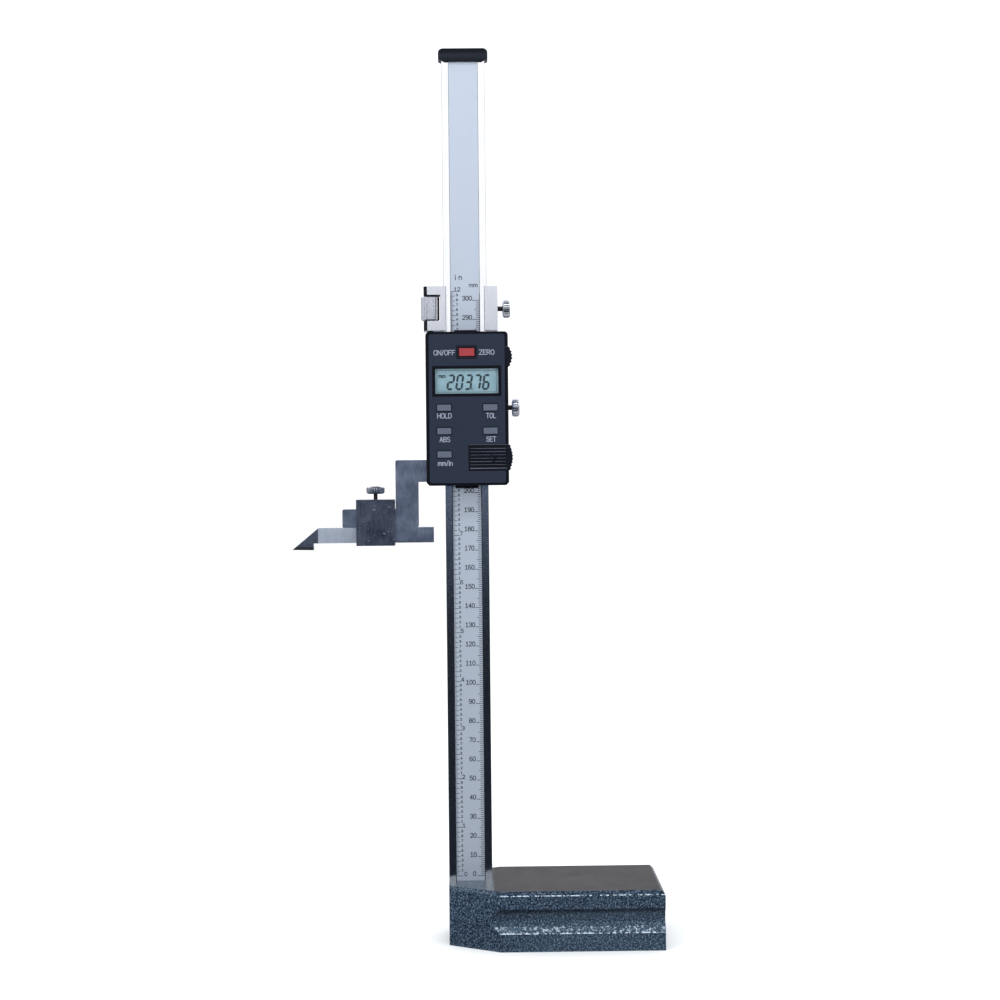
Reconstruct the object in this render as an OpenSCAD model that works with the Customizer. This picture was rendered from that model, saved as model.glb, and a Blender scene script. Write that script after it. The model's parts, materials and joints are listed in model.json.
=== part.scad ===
// Digital height gauge on a single steel column. All sizes are in millimetres.
// X runs along the base away from the scriber, Y away from the reader, Z up.
// The origin is under the middle of the column, on the face that the base rests on.

/* [Setting] */
// Height that the scriber stands at and the display shows
reading = 203.76; // [0:0.01:300]

/* [Base] */
// Length of the base from its nose to its back end
base_len = 110; // [100:1:125]
// Width of the base
base_w = 75; // [70:1:85]
// Height of the base
base_h = 30.5; // [28:0.5:34]
// Width of the flat nose under the column
nose_w = 36.6; // [32:0.2:42]
// Length over which the nose widens to the full width
nose_run = 26; // [22:1:30]
// Bevel along the top edges
base_bevel = 2; // [1.5:0.1:2.5]
// Height of the finger groove's lower edge
groove_low = 9.3; // [8:0.1:11]
// Height of the finger groove's upper edge
groove_high = 21.7; // [20:0.1:23]
// Depth of the finger groove
groove_depth = 3.2; // [2.6:0.1:3.8]
// Rim left round the relief in the underside
relief_rim = 12; // [9:0.5:15]
// Depth of the relief in the underside
relief_depth = 1.2; // [0.8:0.1:1.6]

/* [Column] */
// Width of the column
beam_w = 22.5; // [21:0.1:24]
// Thickness of the column
beam_t = 8; // [7:0.1:9]
// Length of the column with its foot in the base
beam_len = 450; // [445:1:480]
// Depth of the slot in the base that holds the column's foot
beam_seat = 20; // [16:0.5:24]
// Width of the scale strip
strip_w = 15; // [14:0.1:16]
// Thickness of the sensing strip under the scale
strip_t = 0.75; // [0.6:0.05:1]
// Thickness of the printed scale
label_t = 0.25; // [0.15:0.05:0.3]
// Height of the scale's zero mark above the base
zero_rise = 2.5; // [2:0.1:3.5]
// Height of the end cap
cap_h = 7.3; // [6.8:0.1:8]
// How far the end cap stands out past the column
cap_over = 1.6; // [1.2:0.1:2]
// Depth of the socket in the end cap
cap_grip = 3.8; // [3:0.1:4.4]
// Radius of the end cap's upper corners
cap_round = 2.5; // [2:0.1:3]
// Diameter of the screws that hold the column in the base
foot_screw_d = 4; // [3.5:0.1:4.4]
// Diameter of those screws' heads
foot_head_d = 7; // [6.4:0.1:7.6]
// Distance between those screws
foot_screw_pitch = 12; // [10:0.5:13]

/* [Slider frame] */
// Thickness of the slider's sides
rail_w = 5.1; // [4.8:0.1:5.5]
// Thickness of the slider's back
back_t = 3.3; // [2.8:0.1:4]
// Thickness of the lips in front of the column
lip_t = 2.5; // [2.2:0.1:3]
// How far the lips reach over the column's front
lip_cover = 1.4; // [1.1:0.1:1.7]
// Running clearance between slider and column
run_gap = 0.08; // [0.06:0.01:0.1]
// Height of the slider's lower end above the index edge
frame_rise = 0.6; // [0.4:0.1:1]
// Height of the pad beside the lead screw
pad_h = 0.9; // [0.7:0.05:0.95]
// Thickness of the gib strip
gib_t = 1.2; // [1:0.1:1.4]
// Width of the gib strip
gib_w = 6.8; // [6:0.1:6.9]
// Diameter of the gib's adjusting screws
gib_screw_d = 2.5; // [2:0.1:3]

/* [Jaw arm] */
// Thickness of the jaw arm and the scriber
jaw_t = 8; // [7:0.1:9]
// Height of the arm's root block
root_h = 11.5; // [10:0.1:13]
// Height of the root block above the index edge
root_rise = 2; // [1.5:0.1:3]
// Distance from the column's centre to the leg's outer face
leg_out = 37.2; // [36:0.1:39]
// Width of the leg
leg_w = 11.9; // [11:0.1:13]
// Distance from the column's centre to the foot's end
foot_out = 65; // [64:0.1:68]
// Height of the foot
foot_h = 9.6; // [9:0.1:10.4]
// Radius of the arm's corners
arm_round = 0.8; // [0.5:0.1:1.2]

/* [Scriber] */
// Height of the scriber bar
bar_h = 8; // [7.5:0.1:8.5]
// Distance from the column's centre to the bar's near end
bar_near = 17.5; // [17.3:0.1:20]
// Distance from the column's centre to the point
tip_out = 91.8; // [90.5:0.1:94]
// Length of the bevelled point
tip_len = 14.1; // [13:0.1:15]
// Length of the measuring face under the point
tip_flat = 11.5; // [10:0.1:12.5]
// Drop of the measuring face below the bar
tip_drop = 3.5; // [3:0.1:4]
// Thickness left at the point
tip_edge = 0.5; // [0.3:0.1:0.8]
// Thickness of the carbide tip
carbide_t = 1.8; // [1.5:0.1:2.2]

/* [Scriber clamp] */
// Width of the clamp box along the scriber
box_w = 19.9; // [18:0.1:21]
// Thickness of the box's front and back walls
box_side = 3.1; // [2.6:0.1:3.5]
// Thickness of the box's top wall
box_top = 4.6; // [4:0.1:5.2]
// Thickness of the box's bottom wall
box_floor = 1.4; // [1.2:0.1:1.8]
// Gap between the box and the leg
box_gap = 0.6; // [0.5:0.05:0.9]
// Diameter of the clamp's thumb screw
box_screw_d = 2.1; // [1.9:0.1:2.6]
// Length of that screw seen above the box
box_screw_stand = 2.9; // [2.5:0.1:3.3]

/* [Case] */
// Width of the display case
case_w = 42.5; // [42:0.1:43.5]
// Height of the display case
case_h = 79.2; // [79:0.1:81]
// Depth of the front shell
case_depth = 9.6; // [9.4:0.1:10.4]
// Thickness of the rear cover
cover_t = 1.8; // [1.6:0.1:2.2]
// Wall thickness of the front shell
case_wall = 1.6; // [1.5:0.05:1.7]
// How far the case sits to the right of the column's centre
case_shift = 0.55; // [0.3:0.05:0.8]
// Radius of the case's upper corners
case_round = 2; // [1.6:0.1:2.2]
// Cut-off at the case's lower corners
case_cut = 1.5; // [1.2:0.1:1.7]
// Bevel round the case's front
case_bevel = 1; // [0.8:0.05:1.1]
// Border left beside the front film
film_side = 1.75; // [1.6:0.05:2]
// Border left above and below the front film
film_end = 1.3; // [1.2:0.05:1.5]
// Thickness of the front film
film_t = 0.3; // [0.2:0.05:0.4]
// Width of the scale wipers
wiper_w = 11.9; // [11:0.1:12.5]
// How far the wipers stand out of the case
wiper_out = 1.5; // [1.2:0.1:1.7]
// Length of the wipers
wiper_len = 7.4; // [6:0.1:7.6]

/* [Display] */
// Width of the display window
window_w = 34.4; // [34:0.1:35]
// Height of the display window
window_h = 14.75; // [14:0.05:15]
// Height of the window's centre above the index edge, as a share of the case's height
window_share = 0.681; // [0.678:0.001:0.684]
// Thickness of the window
window_t = 1; // [0.8:0.05:1.1]
// Width of the display panel
panel_w = 36; // [35.6:0.1:36.4]
// Height of the display panel
panel_h = 16.4; // [16:0.1:16.8]
// Thickness of the display panel
panel_t = 2; // [1.6:0.1:2.4]

/* [Keys] */
// Width of a grey key
key_w = 7.3; // [7:0.1:7.6]
// Height of a grey key
key_h = 3.3; // [3:0.1:3.6]
// Width of the red key
red_w = 7.9; // [7.6:0.1:8.2]
// Height of the red key
red_h = 4.1; // [3.9:0.1:4.3]
// How far the keys stand out of the case
key_proud = 0.6; // [0.5:0.05:0.8]
// Travel of a key
key_travel = 0.5; // [0.4:0.05:0.6]
// Distance from the case's centre to each row of keys
key_column = 11.9; // [11.6:0.1:12.2]
// Height of the top pair of grey keys above the index edge, as a share of the case's height
key_share = 0.506; // [0.504:0.001:0.509]
// Distance between the keys of a column, as a share of the case's height
key_pitch_share = 0.1515; // [0.149:0.0005:0.153]
// Height of the red key above the index edge, as a share of the case's height
red_share = 0.866; // [0.864:0.001:0.868]

/* [Battery and port] */
// Diameter of the button cell
cell_d = 11.6; // [11.4:0.1:11.8]
// Thickness of the button cell
cell_t = 5.4; // [5.2:0.1:5.6]
// Height of the battery cover
lid_h = 13.5; // [13:0.1:13.8]
// Height of the battery cover's centre above the index edge, as a share of the case's height
lid_share = 0.181; // [0.179:0.001:0.183]
// Start of the battery cover to the right of the case's centre
lid_start = 0.5; // [0.3:0.1:1]
// How far the covers' ribbed ends stand out of the case's side
lid_bulge = 2.1; // [1.8:0.1:2.3]
// Number of ribs on the battery cover
lid_ribs = 8; // [6:1:9]
// Height of the port cover
port_h = 10.3; // [10:0.1:10.5]
// Height of the port cover's centre above the index edge, as a share of the case's height
port_share = 0.836; // [0.834:0.001:0.837]
// Number of ribs on the port cover
port_ribs = 6; // [5:1:7]

/* [Fine adjustment] */
// Gap between the case and the fine-adjustment clamp
fine_gap = 1.2; // [1.1:0.05:2]
// Height of the clamp
fine_h = 23.2; // [22.6:0.1:25]
// Thickness of the clamp's right side
fine_side = 5.5; // [5:0.1:6]
// Thickness of the wall between nut window and column
fine_wall = 1.7; // [1.5:0.1:2]
// Thickness of the clamp under the nut window
fine_floor = 5.2; // [4.8:0.1:5.6]
// Bevel of the clamp's front left edge
fine_bevel = 1.9; // [1.5:0.1:2.2]
// Diameter of the knurled nut
nut_d = 9.6; // [9:0.1:10]
// Height of the knurled nut
nut_h = 12.7; // [12:0.1:13]
// Gap between the nut and its window, above and below
nut_gap = 0.35; // [0.25:0.05:0.5]
// How far the nut stands out of the clamp's side
nut_proud = 1.4; // [1.1:0.1:1.6]
// Diameter of the lead screw
lead_d = 3.3; // [3:0.1:3.5]
// Depth of the lead screw in the slider
lead_seat = 9; // [7:0.5:11]
// Thickness of the brass shoe
shoe_t = 1.5; // [1.2:0.1:1.8]

/* [Thumb screws] */
// Diameter of the thumb screws' shanks on the right
thumb_d = 2.6; // [2.3:0.1:3]
// Diameter of a thumb screw's head
head_d = 9.6; // [9:0.1:10.4]
// Height of a thumb screw's head
head_h = 4; // [3.6:0.1:4.4]
// Width of the slot in a head
slot_w = 1.6; // [1.3:0.1:1.9]
// Depth of the slot in a head
slot_depth = 1; // [0.8:0.1:1.2]
// Depth of the knurl
knurl_depth = 0.3; // [0.2:0.05:0.4]
// Distance from the case's side to the slider's screw head
lock_stand = 2; // [1.6:0.1:2.6]
// Distance from the clamp's side to its screw head
fine_stand = 2.6; // [2.2:0.1:3]
// Height of the slider's thumb screw above the index edge
lock_rise = 40.4; // [38:0.1:42]

/* [Small parts] */
// Thickness of the circuit boards
board_t = 1.2; // [1:0.1:1.4]
// Height of the main board above the rear cover
board_stand = 1.8; // [1.6:0.1:2]
// Thickness of the sensor board
sensor_t = 1; // [0.8:0.1:1.2]
// Gap between the sensor board and the column
sensor_gap = 0.25; // [0.15:0.05:0.35]
// Diameter of the small screws
small_d = 1.6; // [1.4:0.1:1.8]
// Diameter of the small screws' heads
small_head_d = 2.9; // [2.6:0.1:3]
// Height of the small screws' heads
small_head_h = 0.9; // [0.7:0.1:1]
// Depth that the small screws reach in
small_reach = 4; // [3:0.1:4.5]

/* [Hidden] */
$fn = 48;

// Overrun of cuts past the face that they open
cut = 1;
// Clearance of parts that are fixed in a seat
seat_fit = 0.05;
// Radial clearance of a turning shank or nut
turn_fit = 0.06;
// Clearance round keys and covers in the case
key_fit = 0.15;
// Steps in a rounded corner
arc_steps = 6;
// Grooves of the knurl round a thumb screw's head and round the nut
knurl_count = 24;
nut_knurl_count = 30;

// Base and column
nose_x = -beam_w / 2;
base_end = nose_x + base_len;
beam_z0 = base_h - beam_seat;
beam_z1 = beam_z0 + beam_len;
cap_z0 = beam_z1 - cap_grip;
scale_zero = base_h + zero_rise;
// Outline of the finger groove: shares of its depth and of its height
groove_shares = [[0, 0], [1, 0.34], [1, 0.54], [0.69, 0.82], [0, 1]];
// Cut-off at the end cap's lower corners
cap_cut_w = 3.5;
cap_cut_h = 1.5;
// Head height of the screws in the foot and their length in the column
foot_head_h = 4;
foot_screw_grip = 10;
foot_sink = 0.6;

// Slider frame, measured from the column's centre and the index edge
index_z = scale_zero + reading;
chan_x = beam_w / 2 + run_gap;
chan_y = beam_t / 2 + run_gap;
gib_x = chan_x + gib_t;
frame_x = chan_x + rail_w;
frame_y0 = -chan_y - lip_t;
frame_y1 = chan_y + back_t;
lip_x = beam_w / 2 - lip_cover;
gib_inset = 2;
gib_screw_inset = 12;
screw_sink = 0.6;

// Lead screw and nut, from the column's centre
window_x = chan_x + fine_wall;
nut_side_gap = 0.4;
lead_x = window_x + nut_side_gap + nut_d / 2;
lug_wall = 0.5;
lug_x = lead_x + lead_d / 2 + lug_wall;
lug_h = lead_seat + lug_wall;
fine_x0 = -(lead_x + nut_d / 2 - nut_proud);
fine_x1 = chan_x + fine_side;
fine_s0 = case_h + fine_gap;
fine_s1 = fine_s0 + fine_h;
bay_s0 = fine_s0 + fine_floor;
bay_s1 = bay_s0 + nut_h + 2 * nut_gap;
// Room above the lead screw, and its clearance in the clamp
lead_room = 2;
lead_fit = 0.3;
shoe_w = 6;
shoe_h = 8;
fine_screw_s = fine_s0 + fine_h / 2;

// Jaw arm and scriber, below the index edge
bar_s0 = tip_drop - scale_zero;
bar_s1 = bar_s0 + bar_h;
foot_s1 = bar_s1 + foot_h;
bar_x0 = -(tip_out - tip_len);
box_x1 = -(leg_out + box_gap);
box_x0 = box_x1 - box_w;
// Room over the foot inside the clamp box
box_room = 0.35;
box_s0 = bar_s0 - seat_fit - box_floor;
box_s1 = foot_s1 + box_room + box_top;
box_y = jaw_t / 2 + seat_fit + box_side;

// Case, from the rear cover forward
case_x0 = case_shift - case_w / 2;
case_x1 = case_shift + case_w / 2;
plate_y0 = frame_y0 - cover_t;
shell_y0 = plate_y0 - case_depth;
wall_y = shell_y0 + case_wall;
board_y1 = plate_y0 - board_stand;
board_y0 = board_y1 - board_t;
window_sink = 0.1;
panel_gap = 0.05;
panel_y0 = wall_y + panel_gap;
panel_y1 = panel_y0 + panel_t;
boss_r = 2;
boss_inset = 2.65;
boss_end_inset = 4.2;
frame_screw_inset = 1.9;
frame_screw_end = 9;
board_side = 3;
board_end = 7.6;
post_r = 1.5;
rib_w = 2;

// Rows on the case's front, above the index edge
window_rise = window_share * case_h;
key_rise = key_share * case_h;
key_pitch = key_pitch_share * case_h;
red_rise = red_share * case_h;
lid_rise = lid_share * case_h;
port_rise = port_share * case_h;

// Keys
flange_t = 0.8;
flange_over = 0.8;
stem_d = 2.4;
dome_d = 4;
dome_t = 0.3;
key_slack = 0.1;
key_well = 0.4;
red_well = 0.65;
stem_y = board_y0 - dome_t - key_travel - key_slack;

// Battery and port
lid_x0 = case_shift + lid_start;
lid_s0 = lid_rise - lid_h / 2;
lid_s1 = lid_rise + lid_h / 2;
port_s0 = port_rise - port_h / 2;
port_s1 = port_rise + port_h / 2;
// The side openings of the shell leave this much wall at its back
side_lip = 1;
rib_depth = 0.3;
// Height of the bulge at its two ends, as a share of its middle
bulge_end_share = 0.25;
cell_x = (lid_x0 + case_x1) / 2;
cell_gap = 0.3;
cell_y0 = wall_y + cell_gap;
cell_y1 = cell_y0 + cell_t;
contact_t = 0.4;
pedestal_r = 4.5;
contact_r = 4.2;
side_contact_w = 5;
bay_wall = 1;
bay_gap = 0.25;

// Points of a quarter circle that starts at the angle "from"
function arc(cx, cz, r, from) = [
    for (i = [0 : arc_steps])
        [cx + r * cos(from + 90 * i / arc_steps), cz + r * sin(from + 90 * i / arc_steps)]
];

// Outline of a rectangle with round corners
function round_rect(x0, z0, x1, z1, r) = concat(
    arc(x1 - r, z1 - r, r, 0), arc(x0 + r, z1 - r, r, 90),
    arc(x0 + r, z0 + r, r, 180), arc(x1 - r, z0 + r, r, 270)
);

// A block between two corners
module block(a, b) {
    translate(a) cube(b - a);
}

// Extrudes an outline in X and Z along Y
module along_y(y0, y1) {
    translate([0, y1, 0]) rotate([90, 0, 0]) linear_extrude(y1 - y0) children();
}

// Extrudes an outline in Y and Z along X
module along_x(x0, x1) {
    translate([x0, 0, 0]) rotate([90, 0, 90]) linear_extrude(x1 - x0) children();
}

// A rod along X, Y or Z between two places on its axis
module rod_x(x0, x1, d, y, z) {
    translate([x0, y, z]) rotate([0, 90, 0]) cylinder(d = d, h = x1 - x0);
}

module rod_y(y0, y1, d, x, z) {
    translate([x, y1, z]) rotate([90, 0, 0]) cylinder(d = d, h = y1 - y0);
}

module rod_z(z0, z1, d, x, y) {
    translate([x, y, z0]) cylinder(d = d, h = z1 - z0);
}

// Straight grooves round a turned piece that stands on Z
module knurl(d, z0, z1, count) {
    side = knurl_depth * sqrt(2);
    for (i = [0 : count - 1])
        rotate([0, 0, 360 * i / count]) translate([d / 2, 0, z0]) rotate([0, 0, 45])
            translate([-side / 2, -side / 2, 0]) cube([side, side, z1 - z0]);
}

// A thumb screw that stands on Z with its tip at zero
module thumb_screw(shank_d, reach) {
    chamfer = head_h / 5;
    difference() {
        rotate_extrude() polygon([
            [0, 0], [shank_d / 2, 0], [shank_d / 2, reach], [head_d / 2 - chamfer, reach],
            [head_d / 2, reach + chamfer], [head_d / 2, reach + head_h - chamfer],
            [head_d / 2 - chamfer, reach + head_h], [0, reach + head_h]
        ]);
        knurl(head_d, reach - cut, reach + head_h + cut, knurl_count);
        block([-head_d, -slot_w / 2, reach + head_h - slot_depth], [head_d, slot_w / 2, reach + head_h + cut]);
    }
}

// A small screw along Y: its head starts at y and its tip points the way of "way"
module small_screw(x, y, s, way) {
    y_head = y + way * small_head_h;
    y_tip = y + way * (small_head_h + small_reach);
    rod_y(min(y, y_head), max(y, y_head), small_head_d, x, s);
    rod_y(min(y_head, y_tip), max(y_head, y_tip), small_d, x, s);
}

// Everything on the slider is drawn from the index edge up
module on_slider() {
    translate([0, 0, index_z]) children();
}

// The four places of the case screws and of the frame screws
module case_screw_places() {
    for (x = [case_x0 + boss_inset, case_x1 - boss_inset])
        for (s = [boss_end_inset, case_h - boss_end_inset])
            translate([x, 0, s]) children();
}

module frame_screw_places() {
    for (x = [-1, 1] * (frame_x - frame_screw_inset))
        for (s = [frame_screw_end, case_h - frame_screw_end])
            translate([x, 0, s]) children();
}

function base_outline() = [
    [nose_x, -nose_w / 2], [nose_x + nose_run, -base_w / 2], [base_end, -base_w / 2],
    [base_end, base_w / 2], [nose_x + nose_run, base_w / 2], [nose_x, nose_w / 2]
];

module finger_groove() {
    height = groove_high - groove_low;
    along_x(nose_x - cut, base_end + cut) polygon(concat(
        [for (p = groove_shares) [p[0] * groove_depth - base_w / 2, groove_low + p[1] * height]],
        [[-base_w / 2 - cut, groove_high], [-base_w / 2 - cut, groove_low]]
    ));
}

module base_casting() {
    relief_x0 = nose_x + nose_run + relief_rim;
    relief_y = base_w / 2 - relief_rim;
    foot_y = beam_t / 2 + seat_fit;
    color([0.26, 0.32, 0.38]) difference() {
        hull() {
            linear_extrude(base_h - base_bevel) polygon(base_outline());
            linear_extrude(base_h) offset(delta = -base_bevel) polygon(base_outline());
            // The flat nose keeps its full height beside the column
            block([nose_x, -nose_w / 2 + base_bevel, 0], [0, nose_w / 2 - base_bevel, base_h]);
        }
        finger_groove();
        mirror([0, 1, 0]) finger_groove();
        block([relief_x0, -relief_y, -cut], [base_end - relief_rim, relief_y, relief_depth]);
        block([nose_x - cut, -foot_y, beam_z0], [beam_w / 2 + seat_fit, foot_y, base_h + cut]);
        for (x = [-1, 1] * foot_screw_pitch / 2) {
            rod_z(-cut, base_h, foot_screw_d + 2 * seat_fit, x, 0);
            rod_z(-cut, foot_sink + foot_head_h, foot_head_d + 2 * turn_fit, x, 0);
        }
    }
}

module beam() {
    channel_y = -beam_t / 2 + strip_t + label_t;
    color([0.82, 0.84, 0.87]) difference() {
        block([-beam_w / 2, -beam_t / 2, beam_z0], [beam_w / 2, beam_t / 2, beam_z1]);
        block(
            [-strip_w / 2 - seat_fit, -beam_t / 2 - cut, base_h],
            [strip_w / 2 + seat_fit, channel_y, beam_z1 + cut]
        );
        for (x = [-1, 1] * foot_screw_pitch / 2)
            rod_z(beam_z0 - cut, beam_z0 + foot_screw_grip + cut, foot_screw_d + 2 * seat_fit, x, 0);
    }
}

module beam_screws() {
    socket_d = foot_screw_d * 0.75;
    color([0.2, 0.2, 0.22]) for (x = [-1, 1] * foot_screw_pitch / 2) difference() {
        union() {
            rod_z(foot_sink, foot_sink + foot_head_h, foot_head_d, x, 0);
            rod_z(foot_sink + foot_head_h, beam_z0 + foot_screw_grip, foot_screw_d, x, 0);
        }
        translate([x, 0, foot_sink - cut]) cylinder(d = socket_d, h = foot_head_h / 2 + cut, $fn = 6);
    }
}

module beam_cap() {
    half = beam_w / 2 + cap_over;
    depth = beam_t / 2 + cap_over;
    color([0.11, 0.12, 0.17]) translate([0, 0, cap_z0]) difference() {
        along_y(-depth, depth) polygon(concat(
            arc(half - cap_round, cap_h - cap_round, cap_round, 0),
            arc(cap_round - half, cap_h - cap_round, cap_round, 90),
            [[-half, cap_cut_h], [cap_cut_w - half, 0], [half - cap_cut_w, 0], [half, cap_cut_h]]
        ));
        block(
            [-beam_w / 2 - seat_fit, -beam_t / 2 - seat_fit, -cut],
            [beam_w / 2 + seat_fit, beam_t / 2 + seat_fit, cap_grip]
        );
    }
}

module scale_board() {
    y1 = -beam_t / 2 + strip_t + label_t;
    color([0.16, 0.36, 0.22])
        block([-strip_w / 2, y1 - strip_t, base_h], [strip_w / 2, y1, beam_z1]);
}

module scale_label() {
    color([0.83, 0.86, 0.88])
        block([-strip_w / 2, -beam_t / 2, base_h], [strip_w / 2, label_t - beam_t / 2, beam_z1]);
}

// Jaw arm: root block, leg and foot
module jaw_arm() {
    along_y(-jaw_t / 2, jaw_t / 2) {
        polygon(round_rect(-leg_out, root_rise, -frame_x + rail_w / 2, root_rise + root_h, arm_round));
        polygon(round_rect(-leg_out, bar_s1, leg_w - leg_out, root_rise + root_h, arm_round));
        polygon(round_rect(-foot_out, bar_s1, leg_w - leg_out, foot_s1, arm_round));
    }
}

module slider_frame() {
    channel_x1 = gib_x + seat_fit;
    color([0.62, 0.64, 0.68]) on_slider() difference() {
        union() {
            block([-frame_x, frame_y0, frame_rise], [frame_x, frame_y1, case_h]);
            block([-frame_x, frame_y0, case_h - cut], [-chan_x, frame_y1, case_h + pad_h]);
            block([-lug_x, -jaw_t / 2, case_h - lug_h], [-chan_x, jaw_t / 2, case_h]);
            jaw_arm();
        }
        block([-chan_x, -chan_y, frame_rise - cut], [channel_x1, chan_y, case_h + pad_h + cut]);
        block([-lip_x, frame_y0 - cut, frame_rise - cut], [lip_x, 0, case_h + pad_h + cut]);
        rod_z(case_h - lead_seat, case_h + cut, lead_d + 2 * seat_fit, -lead_x, 0);
        for (s = [gib_screw_inset, case_h - gib_screw_inset])
            rod_x(0, frame_x + cut, gib_screw_d + 2 * seat_fit, 0, s);
        rod_x(0, frame_x + cut, thumb_d + 2 * turn_fit, 0, lock_rise);
        frame_screw_places() rod_y(frame_y0 - cut, frame_y0 + small_reach, small_d + 2 * seat_fit, 0, 0);
    }
}

module gib_strip() {
    color([0.78, 0.62, 0.3]) on_slider()
        block([chan_x, -gib_w / 2, frame_rise + gib_inset], [gib_x, gib_w / 2, case_h - gib_inset]);
}

module gib_screws() {
    x1 = frame_x - screw_sink;
    notch = gib_screw_d / 5;
    color([0.25, 0.25, 0.27]) on_slider() for (s = [gib_screw_inset, case_h - gib_screw_inset])
        difference() {
            rod_x(gib_x, x1, gib_screw_d, 0, s);
            block([x1 - notch, -gib_screw_d, s - notch / 2], [x1 + cut, gib_screw_d, s + notch / 2]);
        }
}

module lead_screw() {
    color([0.14, 0.14, 0.15]) on_slider() rod_z(case_h - lead_seat, bay_s1, lead_d, -lead_x, 0);
}

module sensor_board() {
    y1 = -beam_t / 2 - sensor_gap;
    half = lip_x - key_fit;
    color([0.12, 0.4, 0.22]) on_slider() block(
        [-half, y1 - sensor_t, wiper_len],
        [half, y1, case_h - wiper_len]
    );
}

module scale_wipers() {
    inner = wiper_len - wiper_out - key_fit;
    color([0.09, 0.09, 0.11]) on_slider() for (s = [-wiper_out, case_h - inner])
        block([-wiper_w / 2, frame_y0, s], [wiper_w / 2, -chan_y, s + wiper_out + inner]);
}

function case_outline() = concat(
    arc(case_x1 - case_round, case_h - case_round, case_round, 0),
    arc(case_x0 + case_round, case_h - case_round, case_round, 90),
    [[case_x0, case_cut], [case_x0 + case_cut, 0], [case_x1 - case_cut, 0], [case_x1, case_cut]]
);

// Outline of the main board, which leaves the battery's corner free
function board_outline() = [
    [case_x0 + board_side, board_end], [lid_x0 - bay_wall - bay_gap, board_end],
    [lid_x0 - bay_wall - bay_gap, lid_s1 + bay_wall + bay_gap],
    [case_x1 - board_side, lid_s1 + bay_wall + bay_gap],
    [case_x1 - board_side, case_h - board_end], [case_x0 + board_side, case_h - board_end]
];

module connector_block(gap) {
    width = lip_x;
    s1 = case_h - wiper_len - sensor_t;
    translate([0, 0, s1]) block(
        [-width / 2 - gap, board_y1, -width / 3 - gap],
        [width / 2 + gap, -beam_t / 2 - sensor_gap - sensor_t, gap]
    );
}

module case_back() {
    post_x = key_column;
    post_s = case_h - board_end - 2 * post_r;
    rib_y1 = -beam_t / 2 - sensor_gap - sensor_t;
    color([0.1, 0.1, 0.12]) on_slider() difference() {
        union() {
            along_y(plate_y0, frame_y0) polygon(case_outline());
            for (p = [[-1, post_s], [1, post_s], [-1, board_end + 2 * post_r], [1, key_rise - key_pitch]])
                rod_y(board_y1, plate_y0, 2 * post_r, case_shift + p[0] * post_x, p[1]);
            rod_y(cell_y1 + contact_t, plate_y0, 2 * pedestal_r, cell_x, lid_rise);
            for (s = [gib_screw_inset, case_h / 2])
                block([-wiper_w / 2, frame_y0, s], [wiper_w / 2, rib_y1, s + rib_w]);
        }
        connector_block(key_fit);
        case_screw_places() {
            rod_y(plate_y0 - cut, frame_y0 + cut, small_d + 2 * seat_fit, 0, 0);
            rod_y(frame_y0 - small_head_h, frame_y0 + cut, small_head_d + 2 * seat_fit, 0, 0);
        }
        frame_screw_places() {
            rod_y(plate_y0 - cut, frame_y0 + cut, small_d + 2 * seat_fit, 0, 0);
            rod_y(plate_y0 - cut, plate_y0 + small_head_h, small_head_d + 2 * seat_fit, 0, 0);
        }
    }
}

// Bevel along the four front edges of the shell
module front_bevel() {
    side = case_bevel * sqrt(2);
    middle = (case_x0 + case_x1) / 2;
    for (x = [case_x0, case_x1])
        translate([x, shell_y0, case_h / 2]) rotate([0, 0, 45])
            block([-side / 2, -side / 2, -case_h], [side / 2, side / 2, case_h]);
    for (s = [0, case_h])
        translate([middle, shell_y0, s]) rotate([45, 0, 0])
            block([-case_w, -side / 2, -side / 2], [case_w, side / 2, side / 2]);
}

// The places and sizes of the keys: column, height, width, height of the key and its well
function key_places() = [
    [0, red_rise, red_w, red_h, red_well],
    [-1, key_rise, key_w, key_h, key_well],
    [-1, key_rise - key_pitch, key_w, key_h, key_well],
    [-1, key_rise - 2 * key_pitch, key_w, key_h, key_well],
    [1, key_rise, key_w, key_h, key_well],
    [1, key_rise - key_pitch, key_w, key_h, key_well]
];

// A block round a key, larger all round by "grow"
module key_block(p, grow, y0, y1) {
    x = case_shift + p[0] * key_column;
    w = p[2] / 2 + grow;
    h = p[3] / 2 + grow;
    block([x - w, y0, p[1] - h], [x + w, y1, p[1] + h]);
}

// Space of the window, larger all round by "grow"
module window_block(grow, y0, y1) {
    w = window_w / 2 + grow;
    h = window_h / 2 + grow;
    block([case_shift - w, y0, window_rise - h], [case_shift + w, y1, window_rise + h]);
}

// Opening in the side of the shell between two heights
module side_opening(s0, s1) {
    block(
        [case_x1 - case_wall, shell_y0 - cut, s0 - key_fit],
        [case_x1 + cut, plate_y0 - side_lip + key_fit, s1 + key_fit]
    );
}

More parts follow.
